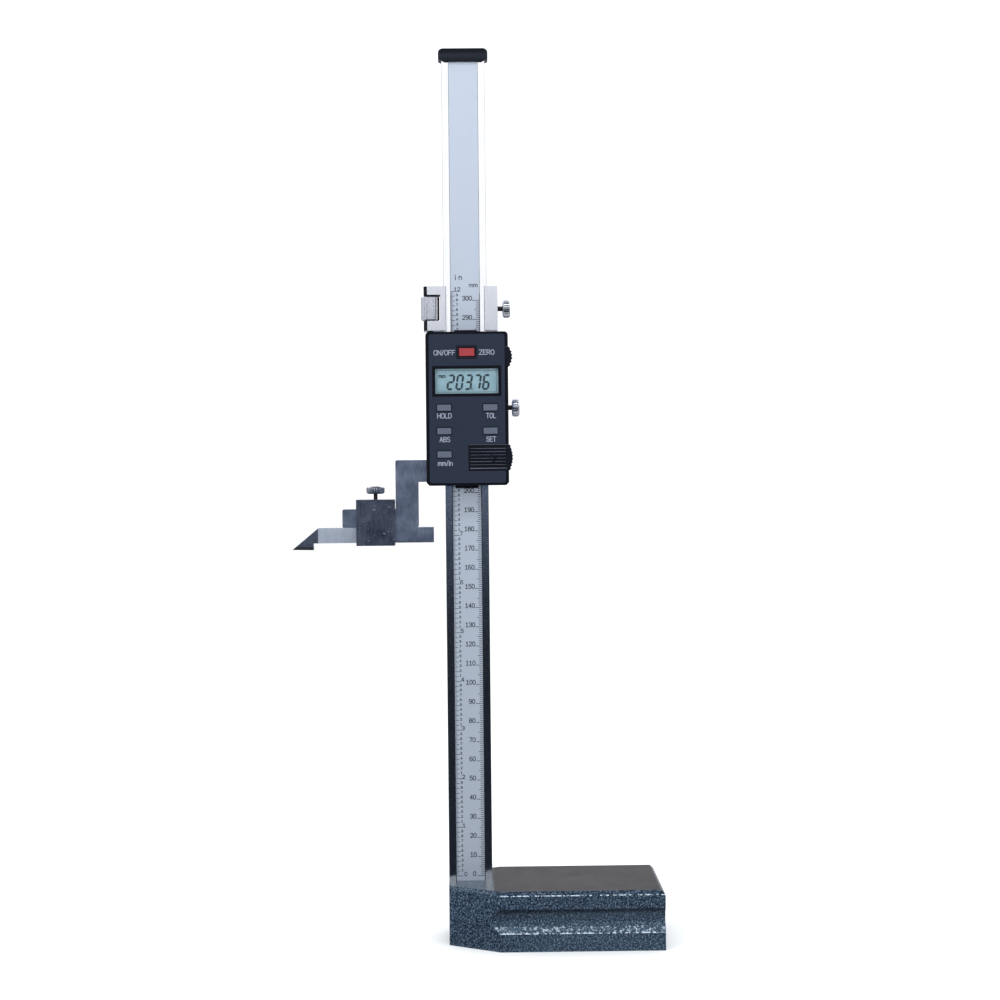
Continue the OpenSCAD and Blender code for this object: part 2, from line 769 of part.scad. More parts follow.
module case_front() {
    film_x0 = case_x0 + film_side - seat_fit;
    film_x1 = case_x1 - film_side + seat_fit;
    color([0.07, 0.07, 0.09]) on_slider() difference() {
        union() {
            difference() {
                along_y(shell_y0, plate_y0) polygon(case_outline());
                block([case_x0 + case_wall, wall_y, case_wall], [case_x1 - case_wall, plate_y0 + cut, case_h - case_wall]);
            }
            case_screw_places() rod_y(wall_y - case_wall / 2, plate_y0, 2 * boss_r, 0, 0);
            // Walls round the battery's corner
            block(
                [lid_x0 - bay_wall, wall_y - case_wall / 2, case_wall / 2],
                [lid_x0, board_y1, lid_s1 + bay_wall]
            );
            block(
                [lid_x0 - bay_wall, wall_y - case_wall / 2, lid_s1 + key_fit],
                [case_x1 - case_wall / 2, board_y1, lid_s1 + bay_wall]
            );
        }
        front_bevel();
        block([film_x0, shell_y0 - cut, film_end], [film_x1, shell_y0 + film_t, case_h - film_end]);
        window_block(seat_fit, shell_y0 - cut, wall_y + cut);
        for (p = key_places()) key_block(p, key_fit, shell_y0 - cut, wall_y);
        block([lid_x0 - key_fit, shell_y0 - cut, lid_s0 - key_fit], [case_x1 + cut, wall_y, lid_s1 + key_fit]);
        side_opening(lid_s0, lid_s1);
        side_opening(port_s0, port_s1);
        case_screw_places() rod_y(plate_y0 - small_reach, plate_y0 + cut, small_d + 2 * seat_fit, 0, 0);
    }
}

module case_screws() {
    color([0.2, 0.2, 0.22]) on_slider() case_screw_places() small_screw(0, frame_y0, 0, -1);
}

module frame_screws() {
    color([0.2, 0.2, 0.22]) on_slider() frame_screw_places() small_screw(0, plate_y0, 0, 1);
}

module front_film() {
    x0 = case_x0 + film_side;
    x1 = case_x1 - film_side;
    edge = film_end + seat_fit;
    color([0.19, 0.22, 0.3]) on_slider() difference() {
        along_y(shell_y0, shell_y0 + film_t)
            polygon(round_rect(x0, edge, x1, case_h - edge, case_round / 2));
        window_block(seat_fit, shell_y0 - cut, shell_y0 + cut);
        for (p = key_places()) key_block(p, p[4], shell_y0 - cut, shell_y0 + cut);
        block([lid_x0 - key_fit, shell_y0 - cut, lid_s0 - key_fit], [x1 + cut, shell_y0 + cut, lid_s1 + key_fit]);
        side_opening(port_s0, port_s1);
    }
}

module display_window() {
    y0 = shell_y0 + window_sink;
    color([0.6, 0.66, 0.68, 0.5]) on_slider() window_block(0, y0, y0 + window_t);
}

module display_panel() {
    color([0.55, 0.6, 0.58]) on_slider() block(
        [case_shift - panel_w / 2, panel_y0, window_rise - panel_h / 2],
        [case_shift + panel_w / 2, panel_y1, window_rise + panel_h / 2]
    );
}

module display_connectors() {
    strip = panel_t;
    half = panel_w / 2 - strip;
    s = panel_h / 2 - strip;
    color([0.85, 0.6, 0.65]) on_slider() for (side = [-1, 1]) block(
        [case_shift - half, panel_y1, window_rise + side * s - strip / 2],
        [case_shift + half, board_y0, window_rise + side * s + strip / 2]
    );
}

module main_board() {
    color([0.1, 0.38, 0.2]) on_slider() along_y(board_y0, board_y1) polygon(board_outline());
}

module board_connector() {
    color([0.9, 0.88, 0.8]) on_slider() connector_block(0);
}

module controller_chip() {
    size = key_column / 2;
    t = board_t;
    color([0.08, 0.08, 0.08]) on_slider() block(
        [case_shift - size, board_y0 - t, key_rise - key_pitch / 2 - size],
        [case_shift + size, board_y0, key_rise - key_pitch / 2 + size]
    );
}

module key_domes() {
    color([0.85, 0.85, 0.8]) on_slider() for (p = key_places())
        rod_y(board_y0 - dome_t, board_y0, dome_d, case_shift + p[0] * key_column, p[1]);
}

module battery_cell() {
    color([0.8, 0.81, 0.83]) on_slider() rod_y(cell_y0, cell_y1, cell_d, cell_x, lid_rise);
}

module battery_contacts() {
    side_x = cell_x - cell_d / 2 - contact_t;
    color([0.85, 0.83, 0.75]) on_slider() {
        rod_y(cell_y1, cell_y1 + contact_t, 2 * contact_r, cell_x, lid_rise);
        block(
            [side_x, cell_y0 + contact_t, lid_rise - side_contact_w / 2],
            [side_x + contact_t, plate_y0, lid_rise + side_contact_w / 2]
        );
    }
}

module data_connector() {
    depth = 2 * board_t;
    x1 = case_x1 - board_side;
    x0 = x1 - boss_r;
    inset = case_wall;
    color([0.12, 0.12, 0.13]) on_slider() difference() {
        block([x0, board_y0 - depth, port_s0 + inset], [x1, board_y0, port_s1 - inset]);
        block(
            [(x0 + x1) / 2, board_y0 - depth * 3 / 4, port_s0 + 2 * inset],
            [x1 + cut, board_y0 - depth / 4, port_s1 - 2 * inset]
        );
    }
}

// A key: cap, flange behind the shell's front and stem
module key(index) {
    p = key_places()[index];
    key_block(p, 0, shell_y0 - key_proud, wall_y + key_slack + flange_t);
    key_block(p, flange_over, wall_y + key_slack, wall_y + key_slack + flange_t);
    rod_y(wall_y + key_slack, stem_y, stem_d, case_shift + p[0] * key_column, p[1]);
}

module key_zero() {
    color([0.78, 0.2, 0.2]) on_slider() key(0);
}

module key_hold() {
    color([0.42, 0.44, 0.5]) on_slider() key(1);
}

module key_abs() {
    color([0.42, 0.44, 0.5]) on_slider() key(2);
}

module key_unit() {
    color([0.42, 0.44, 0.5]) on_slider() key(3);
}

module key_tol() {
    color([0.42, 0.44, 0.5]) on_slider() key(4);
}

module key_set() {
    color([0.42, 0.44, 0.5]) on_slider() key(5);
}

// How far a ribbed end stands out at the share t of its height
function bulge(t) = lid_bulge * (bulge_end_share + (1 - bulge_end_share) * sin(180 * t));

// The ribbed end of a cover on the case's side
module ribbed_end(s0, s1, ribs) {
    pitch = (s1 - s0) / ribs;
    along_y(shell_y0, plate_y0 - side_lip) polygon(concat(
        [[case_x1 - case_wall, s1], [case_x1 - case_wall, s0]],
        [for (i = [0 : 2 * ribs])
            [case_x1 + bulge(i / (2 * ribs)) - (i % 2 == 0 ? rib_depth : 0), s0 + i * pitch / 2]]
    ));
}

module battery_cover() {
    pitch = lid_h / lid_ribs;
    color([0.08, 0.08, 0.1]) on_slider() difference() {
        union() {
            block([lid_x0, shell_y0, lid_s0], [case_x1 - case_wall / 2, wall_y, lid_s1]);
            ribbed_end(lid_s0, lid_s1, lid_ribs);
        }
        for (i = [1 : lid_ribs - 1]) block(
            [lid_x0 + pitch / 2, shell_y0 - cut, lid_s0 + (i - 0.25) * pitch],
            [case_x1 - case_wall, shell_y0 + rib_depth, lid_s0 + (i + 0.25) * pitch]
        );
    }
}

module port_cover() {
    color([0.08, 0.08, 0.1]) on_slider() ribbed_end(port_s0, port_s1, port_ribs);
}

module slider_lock_screw() {
    tip = gib_x + seat_fit;
    color([0.6, 0.61, 0.66]) on_slider() translate([tip, 0, lock_rise]) rotate([0, 90, 0])
        thumb_screw(thumb_d, case_x1 + lock_stand - tip);
}

module fine_clamp() {
    bevel_side = fine_bevel * sqrt(2);
    color([0.78, 0.79, 0.84]) on_slider() difference() {
        block([fine_x0, frame_y0, fine_s0], [fine_x1, frame_y1, fine_s1]);
        block([-chan_x, -chan_y, fine_s0 - cut], [chan_x, chan_y, fine_s1 + cut]);
        block([-lip_x, frame_y0 - cut, fine_s0 - cut], [lip_x, 0, fine_s1 + cut]);
        block([fine_x0 - cut, frame_y0 - cut, bay_s0], [-window_x, frame_y1 + cut, bay_s1]);
        block(
            [0, -shoe_w / 2 - seat_fit, fine_screw_s - shoe_h / 2 - seat_fit],
            [chan_x + shoe_t + seat_fit, shoe_w / 2 + seat_fit, fine_screw_s + shoe_h / 2 + seat_fit]
        );
        rod_z(fine_s0 - cut, bay_s1 + lead_room, lead_d + 2 * lead_fit, -lead_x, 0);
        rod_x(0, fine_x1 + cut, thumb_d + 2 * turn_fit, 0, fine_screw_s);
        translate([fine_x0, frame_y0, 0]) rotate([0, 0, 45])
            block([-bevel_side / 2, -bevel_side / 2, 0], [bevel_side / 2, bevel_side / 2, fine_s1 + cut]);
    }
}

module clamp_shoe() {
    color([0.78, 0.62, 0.3]) on_slider() block(
        [chan_x, -shoe_w / 2, fine_screw_s - shoe_h / 2],
        [chan_x + shoe_t, shoe_w / 2, fine_screw_s + shoe_h / 2]
    );
}

module fine_clamp_screw() {
    tip = chan_x + shoe_t + seat_fit;
    color([0.6, 0.61, 0.66]) on_slider() translate([tip, 0, fine_screw_s]) rotate([0, 90, 0])
        thumb_screw(thumb_d, fine_x1 + fine_stand - tip);
}

module fine_nut() {
    chamfer = nut_d / 16;
    s0 = bay_s0 + nut_gap;
    color([0.66, 0.67, 0.7]) on_slider() translate([-lead_x, 0, s0]) difference() {
        rotate_extrude() polygon([
            [lead_d / 2 + turn_fit, 0], [nut_d / 2 - chamfer, 0], [nut_d / 2, chamfer],
            [nut_d / 2, nut_h - chamfer], [nut_d / 2 - chamfer, nut_h], [lead_d / 2 + turn_fit, nut_h]
        ]);
        knurl(nut_d, -cut, nut_h + cut, nut_knurl_count);
    }
}

module scriber_clamp() {
    inside_y = jaw_t / 2 + seat_fit;
    color([0.38, 0.41, 0.5]) on_slider() difference() {
        block([box_x0, -box_y, box_s0], [box_x1, box_y, box_s1]);
        block([box_x0 - cut, -inside_y, bar_s0 - seat_fit], [box_x1 + cut, inside_y, foot_s1 + box_room]);
        rod_z(foot_s1, box_s1 + cut, box_screw_d + 2 * turn_fit, (box_x0 + box_x1) / 2, 0);
    }
}

module scriber_clamp_screw() {
    tip = foot_s1 + seat_fit;
    color([0.6, 0.61, 0.66]) on_slider() translate([(box_x0 + box_x1) / 2, 0, tip])
        thumb_screw(box_screw_d, box_s1 + box_screw_stand - tip);
}

// Outline of the scriber seen from the front
function scriber_outline() = [
    [-bar_near, bar_s0], [-bar_near, bar_s1], [bar_x0, bar_s1],
    [-tip_out, bar_s0 - tip_drop], [tip_flat - tip_out, bar_s0 - tip_drop],
    [tip_flat - tip_out, bar_s0]
];

// Outline of the scriber seen from above: its front is ground away to the point
function scriber_plan() = [
    [-bar_near, -jaw_t / 2], [-bar_near, jaw_t / 2], [-tip_out, jaw_t / 2],
    [-tip_out, jaw_t / 2 - tip_edge], [bar_x0, -jaw_t / 2]
];

module scriber_shape() {
    intersection() {
        along_y(-jaw_t / 2, jaw_t / 2) polygon(scriber_outline());
        translate([0, 0, bar_s0 - tip_drop - cut])
            linear_extrude(bar_h + tip_drop + 2 * cut) polygon(scriber_plan());
    }
}

// Space of the carbide tip under the steel bar
module carbide_space(low) {
    block([-tip_out - cut, -jaw_t, low], [tip_flat - tip_out + cut, jaw_t, bar_s0 - tip_drop + carbide_t]);
}

module scriber_bar() {
    color([0.72, 0.74, 0.8]) on_slider() difference() {
        scriber_shape();
        carbide_space(bar_s0 - tip_drop - cut);
    }
}

module carbide_tip() {
    color([0.3, 0.31, 0.34]) on_slider() intersection() {
        scriber_shape();
        carbide_space(bar_s0 - tip_drop - cut);
    }
}

base_casting();
beam();
beam_screws();
beam_cap();
scale_board();
scale_label();
slider_frame();
gib_strip();
gib_screws();
lead_screw();
sensor_board();
scale_wipers();
case_back();
case_front();
case_screws();
frame_screws();
front_film();
display_window();
display_panel();
display_connectors();
main_board();
board_connector();
controller_chip();
key_domes();
battery_cell();
battery_contacts();
data_connector();
key_zero();
key_hold();
key_abs();
key_unit();
key_tol();
key_set();
battery_cover();
port_cover();
slider_lock_screw();
fine_clamp();
clamp_shoe();
fine_clamp_screw();
fine_nut();
scriber_clamp();
scriber_clamp_screw();
scriber_bar();
carbide_tip();
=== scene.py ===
"""Looks of a digital height gauge: base, column with a scale, case and scriber."""

import json
import math

import bmesh
import bpy
from mathutils import Matrix, Vector

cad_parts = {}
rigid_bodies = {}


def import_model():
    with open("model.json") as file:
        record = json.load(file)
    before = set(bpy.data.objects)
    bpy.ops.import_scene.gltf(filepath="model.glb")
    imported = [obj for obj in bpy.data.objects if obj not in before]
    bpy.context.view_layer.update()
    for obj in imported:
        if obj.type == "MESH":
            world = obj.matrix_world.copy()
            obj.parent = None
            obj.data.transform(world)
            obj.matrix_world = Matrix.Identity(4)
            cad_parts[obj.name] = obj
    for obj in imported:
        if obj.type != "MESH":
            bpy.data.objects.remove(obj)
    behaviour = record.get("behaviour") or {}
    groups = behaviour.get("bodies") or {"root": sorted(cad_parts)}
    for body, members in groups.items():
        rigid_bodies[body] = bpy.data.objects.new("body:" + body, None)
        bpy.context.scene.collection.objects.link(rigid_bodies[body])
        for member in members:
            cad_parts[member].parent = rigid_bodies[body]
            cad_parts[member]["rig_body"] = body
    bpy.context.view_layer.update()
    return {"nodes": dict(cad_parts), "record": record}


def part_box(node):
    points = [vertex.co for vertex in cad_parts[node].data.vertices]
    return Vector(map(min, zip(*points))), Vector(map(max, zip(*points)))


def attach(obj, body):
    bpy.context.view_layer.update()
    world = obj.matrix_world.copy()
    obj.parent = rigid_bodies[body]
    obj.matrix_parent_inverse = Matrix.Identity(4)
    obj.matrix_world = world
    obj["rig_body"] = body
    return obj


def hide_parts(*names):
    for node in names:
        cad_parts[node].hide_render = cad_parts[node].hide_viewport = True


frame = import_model()

MM = 0.001
RECORD_SLOTS = {row["node"]: row["material_slot"] for row in frame["record"]["subparts"]}

# The camera, fitted to the photograph's frame of 1000 by 1000 pixels
FRAME_PX = 1000
FOCAL_PX = 2185
CAMERA_AT_MM = (0.4, -1141.8, 243.7)
YAW_DEG = 0.843
PITCH_DEG = -0.741
ROLL_DEG = -0.564

# The scale on the column: its zero above the frame's, and its lengths
SCALE_ZERO = 33.0
SCALE_MM = 300
SCALE_INCHES = 12
INCH = 25.4

# Print stands out by INK_T and goes in as far, and each run of a letter stands out by a step
# more than the last. A stroke that turns by more than SHARP_TURN is parted into runs.
INK_T = 0.02
INK_DEEP = 2 * INK_T
INK_STEP = 0.003
SHARP_TURN = math.radians(75)

# Edges sharper than the first angle are rounded, shading breaks at the second, and faces that
# meet within the third are one
ROUND_ABOVE = math.radians(28)
SMOOTH_BELOW = math.radians(40)
FLAT_WITHIN = math.radians(0.5)

# Corners closer than TINY, in metres, are one. Corners within NEAR are at the same place and
# corners within BESIDE are on the same face, in mm.
TINY = 0.001 * MM
NEAR = 0.02
BESIDE = 0.05


def metres(*point):
    """A point in millimetres as a vector in metres."""
    return Vector(point) * MM


def box_mm(node):
    """Lowest and highest corner of a CAD node, in millimetres."""
    low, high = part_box(node)
    return low / MM, high / MM


# Materials


def add(tree, kind, **values):
    """Adds a node to a tree, with these values on itself or on its sockets."""
    made = tree.nodes.new("ShaderNode" + kind)
    for key, value in values.items():
        if hasattr(made, key):
            setattr(made, key, value)
        else:
            made.inputs[key].default_value = value
    return made


def join(a, out, b, into):
    """Joins an output of one node to an input of another."""
    a.id_data.links.new(a.outputs[out], b.inputs[into])


def new_material(**sockets):
    """A material with these values on its shader's sockets, its node tree and its shader."""
    material = bpy.data.materials.new("finish")
    material.use_nodes = True
    shader = material.node_tree.nodes["Principled BSDF"]
    for key, value in sockets.items():
        shader.inputs[key.replace("_", " ")].default_value = value
    return material, material.node_tree, shader


def grain_noise(tree, grain, detail=4.0, rough=0.6):
    """Noise in the object's own space. grain is the size of its cells in mm, or that along X,
    Y and Z."""
    cells = grain if isinstance(grain, tuple) else (grain, grain, grain)
    place = add(tree, "TexCoord")
    stretch = add(tree, "Mapping")
    stretch.inputs["Scale"].default_value = [1 / (cell * MM) for cell in cells]
    noise = add(tree, "TexNoise", Scale=1.0, Detail=detail, Roughness=rough)
    join(place, "Object", stretch, "Vector")
    join(stretch, "Vector", noise, "Vector")
    return noise


def ramp_of(tree, source, out, stops):
    """Turns a node's output into colours by these (place, colour) stops."""
    ramp = add(tree, "ValToRGB")
    elements = ramp.color_ramp.elements
    while len(elements) < len(stops):
        elements.new(0.5)
    for element, (place, colour) in zip(elements, stops):
        element.position = place
        element.color = (*colour, 1)
    join(source, out, ramp, "Fac")
    return ramp


def remap(tree, source, out, span, onto):
    """Stretches a span of a node's output onto another. Returns the node with the result."""
    made = add(tree, "MapRange")
    for key, value in zip(("From Min", "From Max", "To Min", "To Max"), (*span, *onto)):
        made.inputs[key].default_value = value
    join(source, out, made, "Value")
    return made


def multiplied(tree, a, a_out, b, b_out):
    """The product of two outputs, as a node with a colour."""
    made = add(tree, "MixRGB", blend_type="MULTIPLY", Fac=1.0)
    join(a, a_out, made, "Color1")
    join(b, b_out, made, "Color2")
    return made


def laid_over(tree, share, out, under, colour):
    """Lays a colour over another as far as a share says. Returns the node with the result."""
    mix = add(tree, "MixRGB")
    mix.inputs["Color2"].default_value = (*colour, 1)
    join(share, out, mix, "Fac")
    join(under, "Color", mix, "Color1")
    return mix


def bumped(tree, shader, noise, height):
    """Bumps a shader's surface along a noise, by up to this height in mm."""
    bump = add(tree, "Bump", Strength=1.0, Distance=height * MM)
    join(noise, "Fac", bump, "Height")
    join(bump, "Normal", shader, "Normal")


# The values between which most of a noise lies, and half the span in which tones turn
NOISE_SPAN = (0.3, 0.7)
TURN = 0.15


def toned(tree, shader, source, out, tones, rough, turn=TURN, spots=None, edge_wear_and_painted_light=None):
    """Lets colour and roughness follow a node's output, under any spots and the colour of rounded
    edges, which is edge wear on some finishes and painted highlight or painted shade on others.
    """
    stops = zip((0.5 - turn, 0.5 + turn), tones)
    colour = ramp_of(tree, source, out, list(stops))
    if spots:
        marks = grain_noise(tree, MARK_CELL, detail=2.0)
        pick = ramp_of(tree, marks, "Fac", MARK_STOPS)
        colour = laid_over(tree, pick, "Color", colour, spots)
    if edge_wear_and_painted_light:
        edge = add(tree, "Attribute", attribute_name="edge_wear_and_painted_light")
        colour = laid_over(tree, edge, "Fac", colour, edge_wear_and_painted_light)
    join(colour, "Color", shader, "Base Color")
    gloss = remap(tree, source, out, NOISE_SPAN, rough)
    join(gloss, "Result", shader, "Roughness")


def surface(dark, light, rough, grain, turn=TURN, metal=0.0, bump=0.0, edge_wear_and_painted_light=None, **sockets):
    """A material whose colour, roughness and bump follow one noise.

    rough is its lowest and highest roughness, grain the noise's cells and bump its height in
    mm, and the colour given for rounded edges is edge wear on some finishes and painted
    highlight or painted shade on others.
    """
    material, tree, shader = new_material(Metallic=metal, **sockets)
    noise = grain_noise(tree, grain)
    toned(tree, shader, noise, "Fac", (dark, light), rough, turn, edge_wear_and_painted_light=edge_wear_and_painted_light)
    if bump:
        bumped(tree, shader, noise, bump)
    return material


# Ground steel: cells in mm of its slow mottle and its stray marks, the mottle's share, and
# where the noise turns into marks
MOTTLE_CELL = 9
MARK_CELL = (2.6, 2.6, 0.7)
MOTTLE_SHARE = 0.45
MARK_STOPS = [(0.67, (0, 0, 0)), (0.72, (1, 1, 1))]


def brushed(dark, light, rough, grain, metal=1.0, bump=0.001, spots=None, edge_wear_and_painted_light=None, **sockets):
    """Ground steel: fine streaks along one axis over a slow mottle.

    spots is the colour of a few stray marks, and the rest is as for surface.
    """
    material, tree, shader = new_material(Metallic=metal, **sockets)
    streaks = grain_noise(tree, grain, detail=6.0, rough=0.7)
    mottle = grain_noise(tree, MOTTLE_CELL, detail=3.0)
    both = add(tree, "MixRGB", Fac=MOTTLE_SHARE)
    join(streaks, "Fac", both, "Color1")
    join(mottle, "Fac", both, "Color2")
    toned(tree, shader, both, "Color", (dark, light), rough, spots=spots, edge_wear_and_painted_light=edge_wear_and_painted_light)
    if bump:
        bumped(tree, shader, streaks, bump)
    return material


# Hammer-finish paint: its cells and how high they stand, in mm, and its tones from pit to ridge
PAINT_CELL = 0.8
PAINT_BUMP = 0.16
PAINT_TONES = [
    (0.36, (0.003, 0.006, 0.012)), (0.47, (0.014, 0.024, 0.042)),
    (0.56, (0.045, 0.069, 0.102)), (0.72, (0.14, 0.19, 0.255)),
]
# Painted shade on faces that look down: between these slopes of a face, the share of its full
# tone goes from low to high
SHADE_SLOPES = (-0.6, -0.05)
SHADE_SHARES = (0.34, 1.0)
# Painted glints: dashes of light along marked edges and faces of the base. Cells in mm, colour,
# where the noise turns into dashes, and how much an edge adds to the noise
GLINT_DASH_CELL = 1.6
GLINT_COLOUR = (0.58, 0.66, 0.76)
GLINT_DASH_STOPS = [(0.64, (0, 0, 0)), (0.78, (1, 1, 1))]
GLINT_DASH_GAIN = 0.2


def sprayed(tree, colour):
    """Darkens a colour on faces that look down: painted shade, such as that under the base's lips.
    """
    place = add(tree, "TexCoord")
    facing = add(tree, "SeparateXYZ")
    join(place, "Normal", facing, "Vector")
    share = remap(tree, facing, "Z", SHADE_SLOPES, SHADE_SHARES)
    return multiplied(tree, colour, "Color", share, "Result")


def dashed(tree, colour):
    """Lays painted glints, in dashes of light, over a colour on marked edges and faces."""
    edge = add(tree, "Attribute", attribute_name="edge_wear_and_painted_light")
    noise = grain_noise(tree, GLINT_DASH_CELL, detail=3.0)
    lifted = add(tree, "Math", operation="MULTIPLY_ADD")
    lifted.inputs[1].default_value = GLINT_DASH_GAIN
    join(edge, "Fac", lifted, 0)
    join(noise, "Fac", lifted, 2)
    glint_dashes = ramp_of(tree, lifted, "Value", GLINT_DASH_STOPS)
    share = multiplied(tree, glint_dashes, "Color", edge, "Fac")
    return laid_over(tree, share, "Color", colour, GLINT_COLOUR)


def hammertone():
    """Hammer-finish paint: dark cells between lighter ridges, with a hard gloss."""
    material, tree, shader = new_material(
        Roughness=0.14, Specular_IOR_Level=0.45, Specular_Tint=(0.55, 0.78, 1, 1))
    cells = grain_noise(tree, PAINT_CELL, detail=2.0)
    tones = ramp_of(tree, cells, "Fac", PAINT_TONES)
    # Painted shade on faces that look down, and painted glints on marked edges and faces
    colour = dashed(tree, sprayed(tree, tones))
    join(colour, "Color", shader, "Base Color")
    bumped(tree, shader, cells, PAINT_BUMP)
    return material


def window_plastic():
    """Clear plastic of the display window. It lets light through by its alpha."""
    material = surface(
        (0.1, 0.14, 0.16), (0.12, 0.16, 0.18), (0.04, 0.09), 6, turn=0.1, bump=0.002,
        Alpha=0.07, Specular_IOR_Level=0.3)
    material.surface_render_method = "DITHERED"
    return material


MATERIALS = {
    "hammertone_paint": hammertone(),
    "ground_face": brushed(
        (0.28, 0.266, 0.262), (0.38, 0.363, 0.358), (0.2, 0.26), (0.6, 3, 0.6), bump=0,
        Specular_Tint=(0.38, 0.38, 0.39, 1)),
    # column_steel's dark edge colour is painted shade along the column's rounded edges
    "column_steel": brushed(
        (0.8, 0.81, 0.84), (0.92, 0.93, 0.95), (0.1, 0.13), (0.3, 0.3, 18), bump=0,
        edge_wear_and_painted_light=(0.34, 0.35, 0.38)),
    "black_plastic": surface(
        (0.002, 0.0025, 0.005), (0.004, 0.005, 0.009), (0.3, 0.42), 0.35, bump=0.008,
        edge_wear_and_painted_light=(0.004, 0.005, 0.009), Specular_IOR_Level=0.08),
    # rib_plastic's light edge colour is a painted highlight on the tops of the covers' ribs
    "rib_plastic": surface(
        (0.002, 0.003, 0.007), (0.004, 0.0055, 0.012), (0.3, 0.4), 0.35, edge_wear_and_painted_light=(0.17, 0.18, 0.24),
        Specular_IOR_Level=0.15),
    "cap_plastic": surface(
        (0.0015, 0.002, 0.005), (0.003, 0.004, 0.009), (0.34, 0.44), 0.5, bump=0.002,
        Specular_IOR_Level=0.18, Specular_Tint=(0.75, 0.85, 1, 1)),
    "scale_print": surface(
        (0.43, 0.485, 0.58), (0.525, 0.58, 0.665), (0.27, 0.37), 0.25, metal=0.45, bump=0.003),
    "scale_ink": surface((0.008, 0.012, 0.03), (0.02, 0.025, 0.05), (0.5, 0.6), 0.3, turn=0.1),
    "circuit_board": surface(
        (0.01, 0.08, 0.03), (0.02, 0.13, 0.05), (0.3, 0.45), 1.2, turn=0.05, bump=0.02),
    "frame_steel": brushed((0.14, 0.175, 0.265), (0.35, 0.41, 0.55), (0.24, 0.42), (0.4, 0.4, 6),
        edge_wear_and_painted_light=(0.42, 0.47, 0.56)),
    # bright_steel's dark edge colour is a painted shadow line along the clamp's lips beside the
    # strip
    "bright_steel": brushed((0.73, 0.745, 0.81), (0.89, 0.905, 0.965), (0.2, 0.3), (0.3, 0.3, 9),
        edge_wear_and_painted_light=(0.16, 0.17, 0.22)),
    # gap_steel is near-black: painted shade on the walls of the fine clamp's window
    "gap_steel": surface(
        (0.004, 0.004, 0.006), (0.01, 0.01, 0.014), (0.4, 0.5), 0.6, Specular_IOR_Level=0.1),
    # scriber_steel's near-white edge colour is a painted highlight along the scriber's edges
    "scriber_steel": brushed(
        (0.32, 0.37, 0.455), (0.53, 0.58, 0.665), (0.3, 0.42), (0.45, 0.45, 7), metal=0.6,
        edge_wear_and_painted_light=(0.95, 0.96, 1.0)),
    "screw_steel": brushed((0.5, 0.51, 0.57), (0.86, 0.87, 0.93), (0.1, 0.22), 0.4),
    "dark_steel": surface(
        (0.02, 0.02, 0.024), (0.05, 0.05, 0.058), (0.3, 0.5), 0.6, metal=0.8, bump=0.01),
    "box_steel": brushed((0.055, 0.07, 0.115), (0.17, 0.2, 0.27), (0.3, 0.44), (0.5, 0.5, 4),
        spots=(0.5, 0.55, 0.64), edge_wear_and_painted_light=(0.2, 0.22, 0.28)),
    # facet_steel's light edge colour is a painted highlight along the facets' edges
    "facet_steel": brushed(
        (0.12, 0.14, 0.19), (0.26, 0.29, 0.36), (0.26, 0.38), (3, 0.5, 1), edge_wear_and_painted_light=(0.5, 0.53, 0.6)),
    "carbide": surface((0.05, 0.052, 0.06), (0.1, 0.105, 0.12), (0.2, 0.3), 0.3, metal=0.9),
    "brass": surface(
        (0.5, 0.33, 0.1), (0.66, 0.46, 0.16), (0.25, 0.4), (0.4, 0.4, 6), metal=1.0, bump=0.004),
    # navy_film's lighter edge colour is a painted highlight along the film's edges
    "navy_film": surface(
        (0.0135, 0.0192, 0.036), (0.0192, 0.0262, 0.0455), (0.3, 0.4), 0.3, bump=0.004,
        edge_wear_and_painted_light=(0.05, 0.06, 0.085), Specular_IOR_Level=0.14),
    "film_print": surface((0.25, 0.275, 0.35), (0.3, 0.325, 0.4), (0.45, 0.55), 0.4, turn=0.1),
    "window_plastic": window_plastic(),
    "panel_glass": surface((0.22, 0.36, 0.428), (0.265, 0.415, 0.475), (0.35, 0.45), 4),
    "lcd_ink": surface((0.002, 0.012, 0.02), (0.004, 0.02, 0.03), (0.5, 0.6), 1, turn=0.1),
    "lcd_line": surface((0.09, 0.14, 0.17), (0.12, 0.17, 0.2), (0.5, 0.6), 1, turn=0.1),
    "elastomer": surface((0.5, 0.2, 0.26), (0.03, 0.03, 0.03), (0.5, 0.7), (0.4, 8, 8), turn=0.05),
    "cream_plastic": surface((0.6, 0.56, 0.44), (0.7, 0.66, 0.53), (0.4, 0.5), 0.5, bump=0.01),
    "nickel": surface((0.7, 0.69, 0.65), (0.82, 0.81, 0.77), (0.36, 0.46), 4, metal=0.85),
    # Both keys' darker edge colours are painted shade round their faces
    "red_key": surface(
        (0.27, 0.027, 0.034), (0.305, 0.033, 0.04), (0.38, 0.5), 0.4, bump=0.004,
        edge_wear_and_painted_light=(0.1, 0.006, 0.009), Specular_IOR_Level=0.3),
    "grey_key": surface(
        (0.077, 0.092, 0.13), (0.089, 0.105, 0.147), (0.42, 0.55), 0.4, bump=0.004,
        edge_wear_and_painted_light=(0.05, 0.057, 0.09), Specular_IOR_Level=0.25),
}
for name, material in MATERIALS.items():
    material.name = name


# Building pieces


def into_scene(thing):
    """Puts an object in the scene."""
    bpy.context.scene.collection.objects.link(thing)


def object_from(form, name, materials):
    """Turns a bmesh into an object of the scene with these materials."""
    mesh = bpy.data.meshes.new(name)
    form.to_mesh(mesh)
    form.free()
    for material in materials:
        mesh.materials.append(material)
    thing = bpy.data.objects.new(name, mesh)
    into_scene(thing)
    return thing


